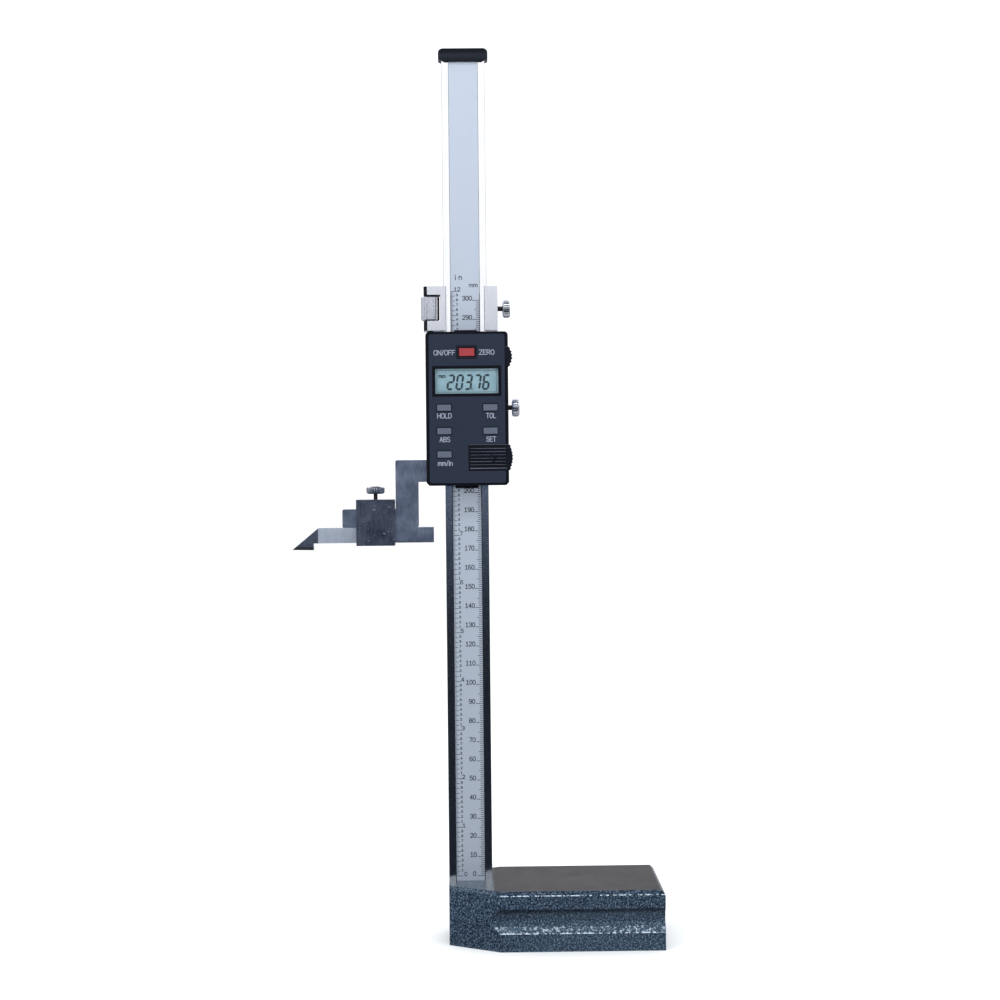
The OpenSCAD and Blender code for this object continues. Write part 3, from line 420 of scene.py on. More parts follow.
def mount(form, name, materials, body, slot, *nodes, smooth=True):
    """Makes a piece of a bmesh, puts it on its body and hides the CAD nodes that it stands for."""
    bmesh.ops.recalc_face_normals(form, faces=form.faces)
    piece = object_from(form, name, [MATERIALS[material] for material in materials])
    if smooth:
        piece.data.polygons.foreach_set("use_smooth", [True] * len(piece.data.polygons))
        piece.data.set_sharp_from_angle(angle=SMOOTH_BELOW)
        even = piece.modifiers.new("even_normals", "WEIGHTED_NORMAL")
        even.keep_sharp = True
    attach(piece, body)
    if nodes:
        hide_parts(*nodes)


def rounded(form, width, segments, pick=None, edge_wear_and_painted_light=1.0):
    """Rounds the sharp edges that pick accepts, and marks how much of their finish's edge colour
    the new faces take: edge wear on some finishes, painted highlight and shade on others.
    """
    if "edge_wear_and_painted_light" not in form.faces.layers.float:
        form.faces.layers.float.new("edge_wear_and_painted_light")
    sharp = [
        e for e in form.edges
        if e.is_manifold and e.calc_face_angle(0) > ROUND_ABOVE and (pick is None or pick(e))
    ]
    if not sharp:
        return
    made = bmesh.ops.bevel(
        form, geom=sharp, offset=width * MM, offset_type="OFFSET", segments=segments,
        profile=0.5, affect="EDGES", clamp_overlap=True)
    wear_and_painted_light_layer = form.faces.layers.float["edge_wear_and_painted_light"]
    for face in made["faces"]:
        face[wear_and_painted_light_layer] = edge_wear_and_painted_light


def parted(form, place, normal):
    """Parts a form's faces along a plane."""
    whole = [*form.verts, *form.edges, *form.faces]
    bmesh.ops.bisect_plane(form, geom=whole, plane_co=place, plane_no=normal)


# How far the cap's front and back lean in at its top, in mm, and the rows the curve is cut in
LEAN_IN = 2.4
LEAN_ROWS = 10


def leaned_in(form, node):
    """Curves a piece's front and back so that they lean in towards its top."""
    low, high = box_mm(node)
    for i in range(1, LEAN_ROWS):
        parted(form, metres(0, 0, low.z + (high.z - low.z) * i / LEAN_ROWS), (0, 0, 1))
    for vert in form.verts:
        share = (vert.co.z / MM - low.z) / (high.z - low.z)
        if abs(vert.co.y / MM - low.y) < NEAR:
            vert.co.y += LEAN_IN * share ** 2 * MM
        elif abs(vert.co.y / MM - high.y) < NEAR:
            vert.co.y -= LEAN_IN * share ** 2 * MM


# Share of the painted glint on a face that glints
PAINTED_GLINT_SHARE = 0.6


def dressed(
        node, material, width=0.2, segments=2, curve=None, passes=None, cut_x=None, glint_faces=None,
        faces=None, extra=()):
    """A copy of a CAD node's shape in place of the node, rounded by a width in mm.

    curve reshapes the copy first. passes is a list of (width, segments, pick, share of the edge
    colour), for a node whose edges differ; that edge colour is painted highlight or shade on most
    finishes. cut_x is a place in mm to part the faces at. glint_faces picks faces that take a
    share of the painted glint. faces gives a face the number of its material, in which 1 is the
    first of the extra ones.
    """
    form = bmesh.new()
    form.from_mesh(frame["nodes"][node].data)
    bmesh.ops.remove_doubles(form, verts=form.verts, dist=TINY)
    bmesh.ops.dissolve_limit(form, angle_limit=FLAT_WITHIN, verts=form.verts, edges=form.edges)
    if curve:
        curve(form, node)
    for step in passes or [(width, segments)]:
        rounded(form, *step)
    if cut_x is not None:
        parted(form, metres(cut_x, 0, 0), (1, 0, 0))
    bmesh.ops.dissolve_degenerate(form, dist=TINY, edges=form.edges)
    if glint_faces:
        wear_and_painted_light_layer = form.faces.layers.float["edge_wear_and_painted_light"]
        for face in filter(glint_faces, form.faces):
            face[wear_and_painted_light_layer] = PAINTED_GLINT_SHARE
    if faces:
        for face in form.faces:
            face.material_index = faces(face)
    body = frame["nodes"][node]["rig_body"]
    mount(form, node + "_look", [material, *extra], body, RECORD_SLOTS[node], node)


def stroke_sides(path, looped, width):
    """Places left and right of each point of a path. Its turns are mitred and its ends square."""
    count = len(path)
    sides = []
    for i, here in enumerate(path):
        before = path[i - 1] if looped or i else here
        after = path[(i + 1) % count] if looped or i < count - 1 else here
        ways = [(b - a).normalized() for a, b in ((before, here), (here, after)) if a != b]
        into = ways[0]
        along = into + ways[-1]
        side = Vector((-along.y, along.x)).normalized()
        reach = width / 2 / max(0.5, side.dot(Vector((-into.y, into.x))))
        cap = Vector((0, 0))
        if not looped and i in (0, count - 1):
            cap = into * (width / 2 if i else -width / 2)
        sides.append((here + side * reach + cap, here - side * reach + cap))
    return sides


def ribbon(form, points, width, front, thick=INK_DEEP):
    """A flat closed stroke in X and Z along these points, all in mm."""
    looped = points[0] == points[-1]
    path = [Vector(p) for p in (points[:-1] if looped else points)]
    rows = []
    for a, b in stroke_sides(path, looped, width):
        corners = [(a, front), (b, front), (b, front + thick), (a, front + thick)]
        rows.append([form.verts.new(metres(p.x, y, p.y)) for p, y in corners])
    for i in range(len(rows) if looped else len(rows) - 1):
        here, there = rows[i], rows[(i + 1) % len(rows)]
        for k in range(4):
            form.faces.new([here[k], there[k], there[(k + 1) % 4], here[(k + 1) % 4]])
    if not looped:
        form.faces.new(rows[0])
        form.faces.new(rows[-1][::-1])


def plate(form, points, front, thick=INK_DEEP):
    """A flat closed plate in X and Z with this outline, all in mm."""
    faces = [
        [form.verts.new(metres(x, y, z)) for x, z in points] for y in (front, front + thick)
    ]
    form.faces.new(faces[0])
    form.faces.new(faces[1][::-1])
    for i in range(len(points)):
        j = (i + 1) % len(points)
        form.faces.new([faces[0][j], faces[0][i], faces[1][i], faces[1][j]])


# Strokes of figures and letters, in a cell 4 wide and 6 high, and the gap between two cells
CELL_W = 4
CELL_H = 6
LETTER_GAP = 1.6
STROKES = {
    "0": [[(1.2, 0), (2.8, 0), (4, 1.4), (4, 4.6), (2.8, 6), (1.2, 6), (0, 4.6), (0, 1.4),
           (1.2, 0)]],
    "1": [[(0.7, 4.8), (2, 6), (2, 0)], [(0.6, 0), (3.4, 0)]],
    "2": [[(0, 4.7), (1.1, 6), (2.9, 6), (4, 4.9), (4, 3.8), (0, 0), (4, 0)]],
    "3": [[(0, 5), (1.2, 6), (2.9, 6), (4, 5), (4, 4.1), (2.9, 3.2), (1.6, 3.2)],
          [(2.9, 3.2), (4, 2.3), (4, 1.1), (2.9, 0), (1.1, 0), (0, 1)]],
    "4": [[(3, 0), (3, 6), (0, 1.9), (4, 1.9)]],
    "5": [[(3.8, 6), (0.5, 6), (0.2, 3.3), (1.3, 3.8), (2.9, 3.8), (4, 2.8), (4, 1.1), (2.9, 0),
           (1.1, 0), (0, 0.9)]],
    "6": [[(3.5, 5.7), (2.6, 6), (1.4, 6), (0, 4.6), (0, 1.2), (1.1, 0), (2.9, 0), (4, 1.1),
           (4, 2.5), (2.9, 3.5), (1.1, 3.5)], [(1.1, 3.5), (0, 2.5)]],
    "7": [[(0, 6), (4, 6), (1.6, 0)]],
    "8": [[(1.1, 3.2), (0.2, 4), (0.2, 5), (1.2, 6), (2.8, 6), (3.8, 5), (3.8, 4), (2.9, 3.2),
           (4, 2.3), (4, 1), (2.9, 0), (1.1, 0), (0, 1), (0, 2.3), (1.1, 3.2)],
          [(1.1, 3.2), (2.9, 3.2)]],
    "9": [[(0.5, 0.3), (1.4, 0), (2.6, 0), (4, 1.4), (4, 4.8), (2.9, 6), (1.1, 6), (0, 4.9),
           (0, 3.5), (1.1, 2.5), (2.9, 2.5)], [(2.9, 2.5), (4, 3.5)]],
    "A": [[(0, 0), (2, 6), (4, 0)], [(0.7, 2), (3.3, 2)]],
    "B": [[(0, 0), (0, 6), (2.6, 6), (3.6, 5.2), (3.6, 3.9), (2.6, 3.1), (0, 3.1)],
          [(2.6, 3.1), (3.8, 2.3), (3.8, 0.9), (2.8, 0), (0, 0)]],
    "D": [[(0, 0), (0, 6), (2.3, 6), (4, 4.4), (4, 1.6), (2.3, 0), (0, 0)]],
    "E": [[(3.6, 6), (0, 6), (0, 0), (3.6, 0)], [(0, 3.1), (3, 3.1)]],
    "F": [[(3.5, 6), (0, 6), (0, 0)], [(0, 3.1), (2.9, 3.1)]],
    "H": [[(0, 0), (0, 6)], [(4, 0), (4, 6)], [(0, 3.1), (4, 3.1)]],
    "L": [[(0, 6), (0, 0), (3.3, 0)]],
    "N": [[(0, 0), (0, 6), (4, 0), (4, 6)]],
    "O": [[(1.3, 0), (2.9, 0), (4.2, 1.5), (4.2, 4.5), (2.9, 6), (1.3, 6), (0, 4.5), (0, 1.5),
           (1.3, 0)]],
    "R": [[(0, 0), (0, 6), (2.7, 6), (3.8, 5.2), (3.8, 3.9), (2.7, 3), (0, 3)], [(2, 3), (3.9, 0)]],
    "S": [[(3.8, 5.1), (2.8, 6), (1.1, 6), (0.1, 5), (0.1, 4.1), (1, 3.3), (2.9, 2.8), (3.9, 2),
           (3.9, 1), (2.9, 0), (1.1, 0), (0, 0.9)]],
    "T": [[(0, 6), (4, 6)], [(2, 0), (2, 6)]],
    "Z": [[(0, 6), (4, 6), (0, 0), (4, 0)]],
    "/": [[(0, -0.3), (2.2, 6.3)]],
    "i": [[(0.3, 3.5), (0.3, 0)], [(0.3, 5.3), (0.3, 5.7)]],
    "n": [[(0, 4), (0, 0)], [(0, 3), (1, 4), (2.3, 4), (3.3, 3), (3.3, 0)]],
    "m": [[(0, 4), (0, 0)], [(0, 3.2), (0.8, 4), (1.7, 4), (2.4, 3.3), (2.4, 0)],
          [(2.4, 3.3), (3.2, 4), (4.1, 4), (4.8, 3.3), (4.8, 0)]],
}


def letter_width(letter):
    """Width of a letter in its cell. Figures all take the same."""
    if letter.isdigit():
        return CELL_W
    return max(x for line in STROKES[letter] for x, z in line)


def word_width(text, height, gap):
    """Length of a word in strokes, in mm."""
    return (sum(letter_width(c) for c in text) + gap * (len(text) - 1)) * height / CELL_H


def runs(line):
    """A stroke's line, parted where it turns back sharply."""
    run = [line[0]]
    for before, here, after in zip(line, line[1:], line[2:]):
        run.append(here)
        turn = (Vector(here) - Vector(before)).angle(Vector(after) - Vector(here))
        if turn > SHARP_TURN:
            yield run
            run = [here]
    yield [*run, line[-1]]


def write_strokes(form, text, right_x, base_z, height, front, pen, gap=LETTER_GAP, slim=1.0):
    """Writes a word in strokes, its right end at right_x and its foot at base_z, in mm.

    slim is what its width is shrunk by. Each run stands a little prouder than the last, so that
    no two fronts lie in one plane.
    """
    unit = height / CELL_H
    start = right_x - word_width(text, height, gap) * slim
    for letter in text:
        parts = [run for line in STROKES[letter] for run in runs(line)]
        for i, run in enumerate(parts):
            points = [(start + x * unit * slim, base_z + z * unit) for x, z in run]
            ribbon(form, points, pen, front - INK_T - i * INK_STEP)
        start += (letter_width(letter) + gap) * unit * slim


# Widths of ticks, of the finest ticks in the inch scale, and of the lines along the strip's
# edges, painted shadows of its joints with the column, with where these start above its foot
# and end above zero, in mm
TICK_PEN = 0.31
FINE_PEN = 0.2
SHADOW_LINE_PEN = 0.2
SHADOW_LINE_FOOT = 0.1
SHADOW_LINE_RISE = 303.5
# Steps between figures, and lengths of ticks by the interval that they mark, in steps
MM_FIGURES = 10
MM_TICKS = {MM_FIGURES: 3.7, 5: 2.6, 1: 1.8}
INCH_STEPS = 40
TENTH_STEPS = 4
INCH_TICKS = {INCH_STEPS: 3.3, 20: 2.4, TENTH_STEPS: 2.0, 1: 1.1}
# Width of a figure's strokes: a share of its height, and more in mm
PEN_SHARE = 0.12
PEN_MORE = 0.14
# Right ends and heights of figures. Those in millimetres are slimmed, and move by a step for
# each figure more than two. The inch scale's zero stands further right.
MM_TEXT_RIGHT = 3.0
MM_TEXT_STEP = 0.35
MM_TEXT_H = 2.2
MM_SLIM = 0.84
INCH_TEXT_RIGHT = -2.6
INCH_TEXT_H = 1.9
INCH_ZERO_SHIFT = 0.65
TENTH_TEXT_RIGHT = -3.9
TENTH_TEXT_H = 1.15
# The printed strip, and the names of the scales on it
STRIP_LOW, STRIP_HIGH = box_mm("scale_label")
IN_WORD = {"right_x": -1.75, "z": SCALE_ZERO + 310.85, "height": 2.4, "gap": 4.6}
MM_WORD = {"right_x": STRIP_HIGH.x - 1.1, "z": SCALE_ZERO + 307.0, "height": 1.85, "slim": 1.2}


def tick_length(step, lengths):
    """Length of a tick: that of the largest interval that divides its step."""
    return next(length for every, length in lengths.items() if step % every == 0)


def tick(form, x0, x1, z, pen=TICK_PEN):
    """A tick between two places across the strip."""
    ribbon(form, [(x0, z), (x1, z)], pen, STRIP_LOW.y - INK_T)


def figure(form, text, right_x, z, height, slim=1.0, gap=LETTER_GAP):
    """A figure or word on the strip, in strokes that suit its height."""
    pen = PEN_SHARE * height + PEN_MORE
    write_strokes(form, text, right_x, z, height, STRIP_LOW.y, pen, gap, slim)


def mm_marks(form):
    """Ticks and figures of the millimetre scale, along the strip's right edge."""
    edge = STRIP_HIGH.x
    for step in range(SCALE_MM + 1):
        z = SCALE_ZERO + step
        tick(form, edge - tick_length(step, MM_TICKS), edge - TICK_PEN, z)
        if step % MM_FIGURES == 0:
            right_x = MM_TEXT_RIGHT + MM_TEXT_STEP * (len(str(step)) - 2)
            figure(form, str(step), right_x, z, MM_TEXT_H, MM_SLIM)


def inch_marks(form):
    """Ticks and figures of the inch scale, along the strip's left edge."""
    edge = STRIP_LOW.x
    for step in range(SCALE_INCHES * INCH_STEPS + 1):
        z = SCALE_ZERO + step * INCH / INCH_STEPS
        pen = FINE_PEN if step % TENTH_STEPS else TICK_PEN
        tick(form, edge + TICK_PEN, edge + tick_length(step, INCH_TICKS), z, pen)
        if step % INCH_STEPS == 0:
            right_x = INCH_TEXT_RIGHT + (0 if step else INCH_ZERO_SHIFT)
            figure(form, str(step // INCH_STEPS), right_x, z, INCH_TEXT_H)
        elif step % TENTH_STEPS == 0:
            figure(form, str(step // TENTH_STEPS % 10), TENTH_TEXT_RIGHT, z, TENTH_TEXT_H)


def scale_marks():
    """What is printed on the strip: both scales and their names, with painted shadow lines along
    its edges.
    """
    form = bmesh.new()
    mm_marks(form)
    inch_marks(form)
    # Dark lines along the strip's edges: painted shadow in its joints with the column
    for x in (STRIP_LOW.x + SHADOW_LINE_PEN / 2, STRIP_HIGH.x - SHADOW_LINE_PEN / 2):
        ends = [(x, STRIP_LOW.z + SHADOW_LINE_FOOT), (x, SCALE_ZERO + SHADOW_LINE_RISE)]
        ribbon(form, ends, SHADOW_LINE_PEN, STRIP_LOW.y - INK_T)
    figure(form, "in", **IN_WORD)
    figure(form, "mm", **MM_WORD)
    mount(form, "scale_marks", ["scale_ink"], "base", "scale_print", smooth=False)


# The case's lower edge, from which heights on it are measured, and what is printed on
INDEX_Z = box_mm("case_front")[0].z
FILM_FRONT = box_mm("front_film")[0].y
PANEL_FRONT = box_mm("display_panel")[0].y

# Display: seven segments, each named by its two ends in a cell 2 wide and 4 high
SEGMENT_ENDS = {
    "a": ((0, 4), (2, 4)), "b": ((2, 4), (2, 2)), "c": ((2, 2), (2, 0)), "d": ((0, 0), (2, 0)),
    "e": ((0, 2), (0, 0)), "f": ((0, 4), (0, 2)), "g": ((0, 2), (2, 2)),
}
DIGIT_SEGMENTS = {"0": "abcdef", "2": "abged", "3": "abgcd", "6": "afgecd", "7": "abc"}
READING = "203.76"
DIGIT_W = 2.75
DIGIT_H = 7.1
DIGIT_PITCH = 4.55
DIGIT_LEAN = math.tan(math.radians(8))
# Width of a bar, and the gap at its ends as a share of that
DIGIT_PEN = 1.12
BAR_GAP = 0.05
# How far the digits end from the window's right side and sit below the panel's middle
DIGITS_IN = 6.4
DIGITS_DOWN = 0.75
# Corners of the decimal point, from the lower right corner of the digit before it
POINT = [(0.45, -0.35), (1.15, -0.35), (1.25, 0.35), (0.55, 0.35)]
# The small unit mark: its lower right corner from the window's upper left one, height and pen
UNIT_MARK_AT = (6.0, -5.7)
UNIT_MARK_H = 1.75
UNIT_MARK_PEN = 0.44
# The glass that shows, the border printed round it, the panel's line inside it and the dark
# line round the red key
GLASS_X = (-15.8, 16.7)
GLASS_Z = (INDEX_Z + 47.3, INDEX_Z + 60.1)
BORDER_W = 1.5
LINE_OUT = -0.85
LINE_PEN = 0.22
KEY_RING_OUT = 0.32
KEY_RING_W = 0.5


def segment(form, ends, corner):
    """One bar of a digit: a slim hexagon between two places of its cell."""
    a, b = (Vector((x * DIGIT_W / 2, z * DIGIT_H / 4)) for x, z in ends)
    along = (b - a).normalized()
    across = Vector((-along.y, along.x)) * DIGIT_PEN / 2
    gap = along * DIGIT_PEN * BAR_GAP
    nose = along * DIGIT_PEN / 2
    outline = [
        a + gap, a + gap + nose + across, b - gap - nose + across,
        b - gap, b - gap - nose - across, a + gap + nose - across,
    ]
    leaning = [(corner.x + p.x + p.y * DIGIT_LEAN, corner.y + p.y) for p in outline]
    plate(form, leaning, PANEL_FRONT - INK_T)


def display_reading():
    """The digits on the liquid crystal panel and the small unit mark."""
    low, high = box_mm("display_panel")
    window_low, window_high = box_mm("display_window")
    foot = (low.z + high.z) / 2 - DIGIT_H / 2 - DIGITS_DOWN
    right = window_high.x - DIGITS_IN
    digits = READING.replace(".", "")
    ends = [right - back * DIGIT_PITCH for back in reversed(range(len(digits)))]
    form = bmesh.new()
    for digit, end in zip(digits, ends):
        for bar in DIGIT_SEGMENTS[digit]:
            segment(form, SEGMENT_ENDS[bar], Vector((end - DIGIT_W, foot)))
    before_point = ends[READING.index(".") - 1]
    plate(form, [(before_point + x, foot + z) for x, z in POINT], PANEL_FRONT - INK_T)
    x, z = window_low.x + UNIT_MARK_AT[0], window_high.z + UNIT_MARK_AT[1]
    write_strokes(form, "mm", x, z, UNIT_MARK_H, PANEL_FRONT, UNIT_MARK_PEN)
    mount(form, "display_digits", ["lcd_ink"], "slider", "panel_glass", smooth=False)


def line_round(name, material, slot, x_span, z_span, out, pen, front, thick=INK_DEEP):
    """A line round a rectangle on the slider. Its middle runs this far outside the rectangle."""
    x0, x1 = x_span[0] - out, x_span[1] + out
    z0, z1 = z_span[0] - out, z_span[1] + out
    form = bmesh.new()
    ring = [(x0, z0), (x1, z0), (x1, z1), (x0, z1), (x0, z0)]
    ribbon(form, ring, pen, front - INK_T, thick)
    mount(form, name, [material], "slider", slot, smooth=False)


def slider_lines():
    """The panel's thin line, the black border over the joint of window and film, and the dark
    line round the red key."""
    black = ("black_plastic", "black_plastic")
    glass = (GLASS_X, GLASS_Z)
    line_round("display_line", "lcd_line", "panel_glass", *glass, LINE_OUT, LINE_PEN, PANEL_FRONT)
    line_round("display_border", *black, *glass, BORDER_W / 2, BORDER_W, FILM_FRONT, 3 * INK_T)
    low, high = box_mm("key_zero")
    key = ((low.x, high.x), (low.z, high.z))
    line_round("key_zero_ring", *black, *key, KEY_RING_OUT, KEY_RING_W, FILM_FRONT)


# Words printed on the film: text, middle X and foot above the index edge, in mm, and slimness
FILM_WORDS = [
    ("ON/OFF", -10.93, 67.2, 0.98), ("ZERO", 10.85, 67.3, 1.0), ("HOLD", -11.2, 34.75, 0.95),
    ("ABS", -11.1, 22.6, 0.92), ("mm/in", -11.0, 10.4, 0.91), ("TOL", 12.75, 34.7, 0.86),
    ("SET", 12.75, 22.6, 0.86),
]
FILM_TEXT_H = 2.36
FILM_PEN = 0.34
FILM_GAP = 1.25


def film_words():
    """The plain words beside the keys."""
    form = bmesh.new()
    for text, x, rise, slim in FILM_WORDS:
        right = x + word_width(text, FILM_TEXT_H, FILM_GAP) * slim / 2
        foot = INDEX_Z + rise
        write_strokes(form, text, right, foot, FILM_TEXT_H, FILM_FRONT, FILM_PEN, FILM_GAP, slim)
    mount(form, "film_words", ["film_print"], "slider", "navy_film", smooth=False)


# The battery cover's arrow, in mm: X of its tail, shoulder and point, the depth of its notch,
# its half height, how far it sits below the cover's middle and stands out, and its thickness
ARROW_X = (12.4, 13.3, 16.0)
ARROW_NOTCH = 1.0
ARROW_HALF = 2.1
ARROW_DOWN = 0.7
ARROW_OUT = 0.03
ARROW_T = 0.5


def cover_arrow():
    """The raised arrow on the battery cover that shows which way it slides."""
    low, high = box_mm("battery_cover")
    middle = (low.z + high.z) / 2 - ARROW_DOWN
    foot, top = middle - ARROW_HALF, middle + ARROW_HALF
    tail, shoulder, point = ARROW_X
    chevron = [
        (tail, foot), (shoulder, foot), (point, middle), (shoulder, top), (tail, top),
        (point - ARROW_NOTCH, middle),
    ]
    form = bmesh.new()
    plate(form, chevron, low.y - ARROW_OUT, ARROW_T)
    mount(form, "cover_arrow", ["black_plastic"], "battery_cover", "black_plastic")


# Threads, screws and ridges

# The lead screw's thread, in mm: pitch and depth, and the rows and steps that it is drawn in
THREAD_PITCH = 0.5
THREAD_DEPTH = 0.24
THREAD_ROWS = 6
THREAD_STEPS = 32


def thread_point(radius, middle, z, angle):
    """A place on the thread's surface, at a height and an angle."""
    phase = (z / THREAD_PITCH - angle / (2 * math.pi)) % 1.0
    r = radius - THREAD_DEPTH * abs(2 * phase - 1)
    return metres(middle.x + r * math.cos(angle), middle.y + r * math.sin(angle), z)


def threaded_rod():
    """The lead screw with its thread."""
    low, high = box_mm("lead_screw")
    middle = (low + high) / 2
    radius = (high.x - low.x) / 2
    count = round((high.z - low.z) / THREAD_PITCH * THREAD_ROWS)
    angles = [2 * math.pi * k / THREAD_STEPS for k in range(THREAD_STEPS)]
    form = bmesh.new()
    rows = []
    for i in range(count + 1):
        z = low.z + i * (high.z - low.z) / count
        rows.append([form.verts.new(thread_point(radius, middle, z, a)) for a in angles])
    for here, there in zip(rows, rows[1:]):
        for k in range(THREAD_STEPS):
            j = (k + 1) % THREAD_STEPS
            form.faces.new([here[k], here[j], there[j], there[k]])
    form.faces.new(rows[0][::-1])
    form.faces.new(rows[-1])
    mount(form, "lead_screw_look", ["dark_steel"], "slider", "dark_steel", "lead_screw")


# A thumb screw's shank as a share of its head, and the slope above which a face is an end face
SHANK_SHARE = 0.45
END_SLOPE = 0.7


def thumb_screw(node, axis):
    """A thumb screw with a dark shank. axis is the number of the axis it points along."""
    low, high = box_mm(node)
    middle = (low + high) / 2
    shank = (high.y - low.y) / 2 * SHANK_SHARE

    def finish(face):
        away = face.calc_center_median() / MM - middle
        away[axis] = 0
        return 1 if away.length < shank and abs(face.normal[axis]) < END_SLOPE else 0

    dressed(node, "screw_steel", 0.08, 1, faces=finish, extra=["dark_steel"])


# Ridges on the covers' ends: how many, how far they stand out and go in, their rounding and
# their distance from front and back, in mm, and their half width as a share of their pitch
BATTERY_TEETH = 8
PORT_TEETH = 6
TOOTH_OUT = 0.3
TOOTH_IN = 0.5
TOOTH_ROUND = 0.08
TOOTH_MARGIN = 0.15
TOOTH_HALF = 0.3
# How much of a cover is its end, and how near to a ridge a corner of it is level with it
COVER_END = 4
TOOTH_REACH = 0.2


def cover_teeth(node, count):
    """Ridges across the part of a cover that stands out at the case's side."""
    low, high = box_mm(node)
    pitch = (high.z - low.z) / count
    corners = [v.co / MM for v in frame["nodes"][node].data.vertices]
    outer = [p for p in corners if p.x > high.x - COVER_END]
    form = bmesh.new()
    for i in range(count):
        z = low.z + (i + 0.5) * pitch
        near = [p for p in outer if abs(p.z - z) < TOOTH_REACH]
        if not near:
            continue
        top = max(p.x for p in near)
        front, back = min(p.y for p in near), max(p.y for p in near)
        inner = top - TOOTH_IN
        half = pitch * TOOTH_HALF
        profile = [(inner, z - half), (inner, z + half), (top + TOOTH_OUT, z)]
        plate(form, profile, front + TOOTH_MARGIN, back - front - 2 * TOOTH_MARGIN)
    rounded(form, TOOTH_ROUND, 1)
    mount(form, node + "_teeth", ["black_plastic"], node, "black_plastic")


# The gauge's pieces


def ends_of(edge):
    """The two ends of an edge, in mm."""
    return [v.co / MM for v in edge.verts]


# The base: its top and side, its bevel, and heights of the grooves' two lips and of the turns
# at their foot and crown, in mm. Edges further in than GROOVE_LIP are inside a groove.
_, BASE_SIDE, BASE_TOP = box_mm("base_casting")[1]
BASE_BEVEL = 2
GROOVE_LOW = 9.3
GROOVE_HIGH = 21.7
GROOVE_FOOT = (11, 15)
GROOVE_CROWN = (15, 21)
GROOVE_LIP = 1
# The slope of a groove's lower side, and how far that rises from the lip
SIDE_SLOPES = (0.5, 0.7)
SIDE_RISE = 3
# The top is bare from here on, and faces count as level above this slope
BARE_FROM = box_mm("beam")[1].x + 0.6
LEVEL_SLOPE = 0.999


def at_height(edge, height):
    """Whether an edge lies level at this height."""
    return all(abs(end.z - height) < NEAR for end in ends_of(edge))


def on_top_rim(edge):
    """Whether an edge borders the base's top."""
    return all(end.z > BASE_TOP - BESIDE for end in ends_of(edge))


def on_worn_lip(edge):
    """Whether an edge runs along the base's side, where a painted glint lies along it."""
    at_side = all(abs(end.y) > BASE_SIDE - BESIDE for end in ends_of(edge))
    level = at_height(edge, BASE_TOP - BASE_BEVEL) or at_height(edge, GROOVE_LOW)
    return at_side and level


def groove_turn(span):
    """A pick of the edges that run along inside a groove between two heights."""
    def pick(edge):
        a, b = ends_of(edge)
        inside = max(abs(a.y), abs(b.y)) < BASE_SIDE - GROOVE_LIP
        return inside and abs(a.z - b.z) < NEAR and span[0] < a.z < span[1]
    return pick


def bare_face(face):
    """Gives the base's level faces behind the column and beneath the ground finish."""
    middle = face.calc_center_median() / MM
    bare = middle.z < BESIDE or middle.z > BASE_TOP - BESIDE and middle.x > BARE_FROM
    return 1 if bare and abs(face.normal.z) > LEVEL_SLOPE else 0


def groove_side(face):
    """Whether a face of the base is a groove's lower side, which gets painted glints."""
    rise = face.calc_center_median().z / MM - GROOVE_LOW
    return SIDE_SLOPES[0] < face.normal.z < SIDE_SLOPES[1] and 0 < rise < SIDE_RISE


def base_piece():
    """The painted base with its ground top."""
    # The lip edges along its sides and the grooves' lower sides get painted glints
    dressed(
        "base_casting", "hammertone_paint", cut_x=BARE_FROM, glint_faces=groove_side, faces=bare_face,
        extra=["ground_face"],
        passes=[
            (2.2, 5, groove_turn(GROOVE_FOOT), 0), (1.2, 4, groove_turn(GROOVE_CROWN), 0),
            (0.26, 2, on_worn_lip, 1), (0.12, 1, lambda edge: at_height(edge, GROOVE_HIGH), 0),
            (0.6, 3, lambda edge: not on_top_rim(edge), 0), (0.1, 1, on_top_rim, 0)])


def column_pieces():
    """The column, its cap and its scale strip."""
    dressed("beam", "column_steel", 0.18)
    dressed("beam_cap", "cap_plastic", 0.4, 3, curve=leaned_in)
    dressed("scale_label", "scale_print", 0.04, 1)


def rib_top(edge):
    """Whether an edge of a cover lies along the top of a rib on its front, where a highlight is
    painted.
    """
    front = any(f.normal.y < -0.5 for f in edge.link_faces)
    return front and any(f.normal.z > 0.5 for f in edge.link_faces)


def case_pieces():
    """The slider, its case and the two covers, whose ribs' tops alone get a painted highlight."""
    dressed("slider_frame", "frame_steel", 0.25)
    dressed("scale_wipers", "black_plastic", 0.4)
    dressed("case_back", "black_plastic", 0.3)
    dressed("case_front", "black_plastic", 0.22)
    dressed("front_film", "navy_film", 0.04, 1)
    dressed("display_window", "window_plastic", 0.15, 1)
    for cover in ("battery_cover", "port_cover"):
        dressed(cover, "rib_plastic", passes=[(0.26, 2, rib_top, 1), (0.1, 1, None, 0)])


# The fine clamp: the nut's window from its left side and from its ends, in mm, the slope below
# which a face is a wall, and how far from the middle the lips of its front reach
CLAMP_LOW, CLAMP_HIGH = box_mm("fine_clamp")
WINDOW_X = (0.6, 10)
WINDOW_MARGIN = 2
WALL_SLOPE = 0.9
LIP_X = 11


def window_wall(face):
    """Gives the walls of the nut's window a near-black steel: painted shade."""
    middle = face.calc_center_median() / MM
    across = WINDOW_X[0] < middle.x - CLAMP_LOW.x < WINDOW_X[1]
    along = CLAMP_LOW.z + WINDOW_MARGIN < middle.z < CLAMP_HIGH.z - WINDOW_MARGIN
    return 1 if across and along and abs(face.normal.y) < WALL_SLOPE else 0


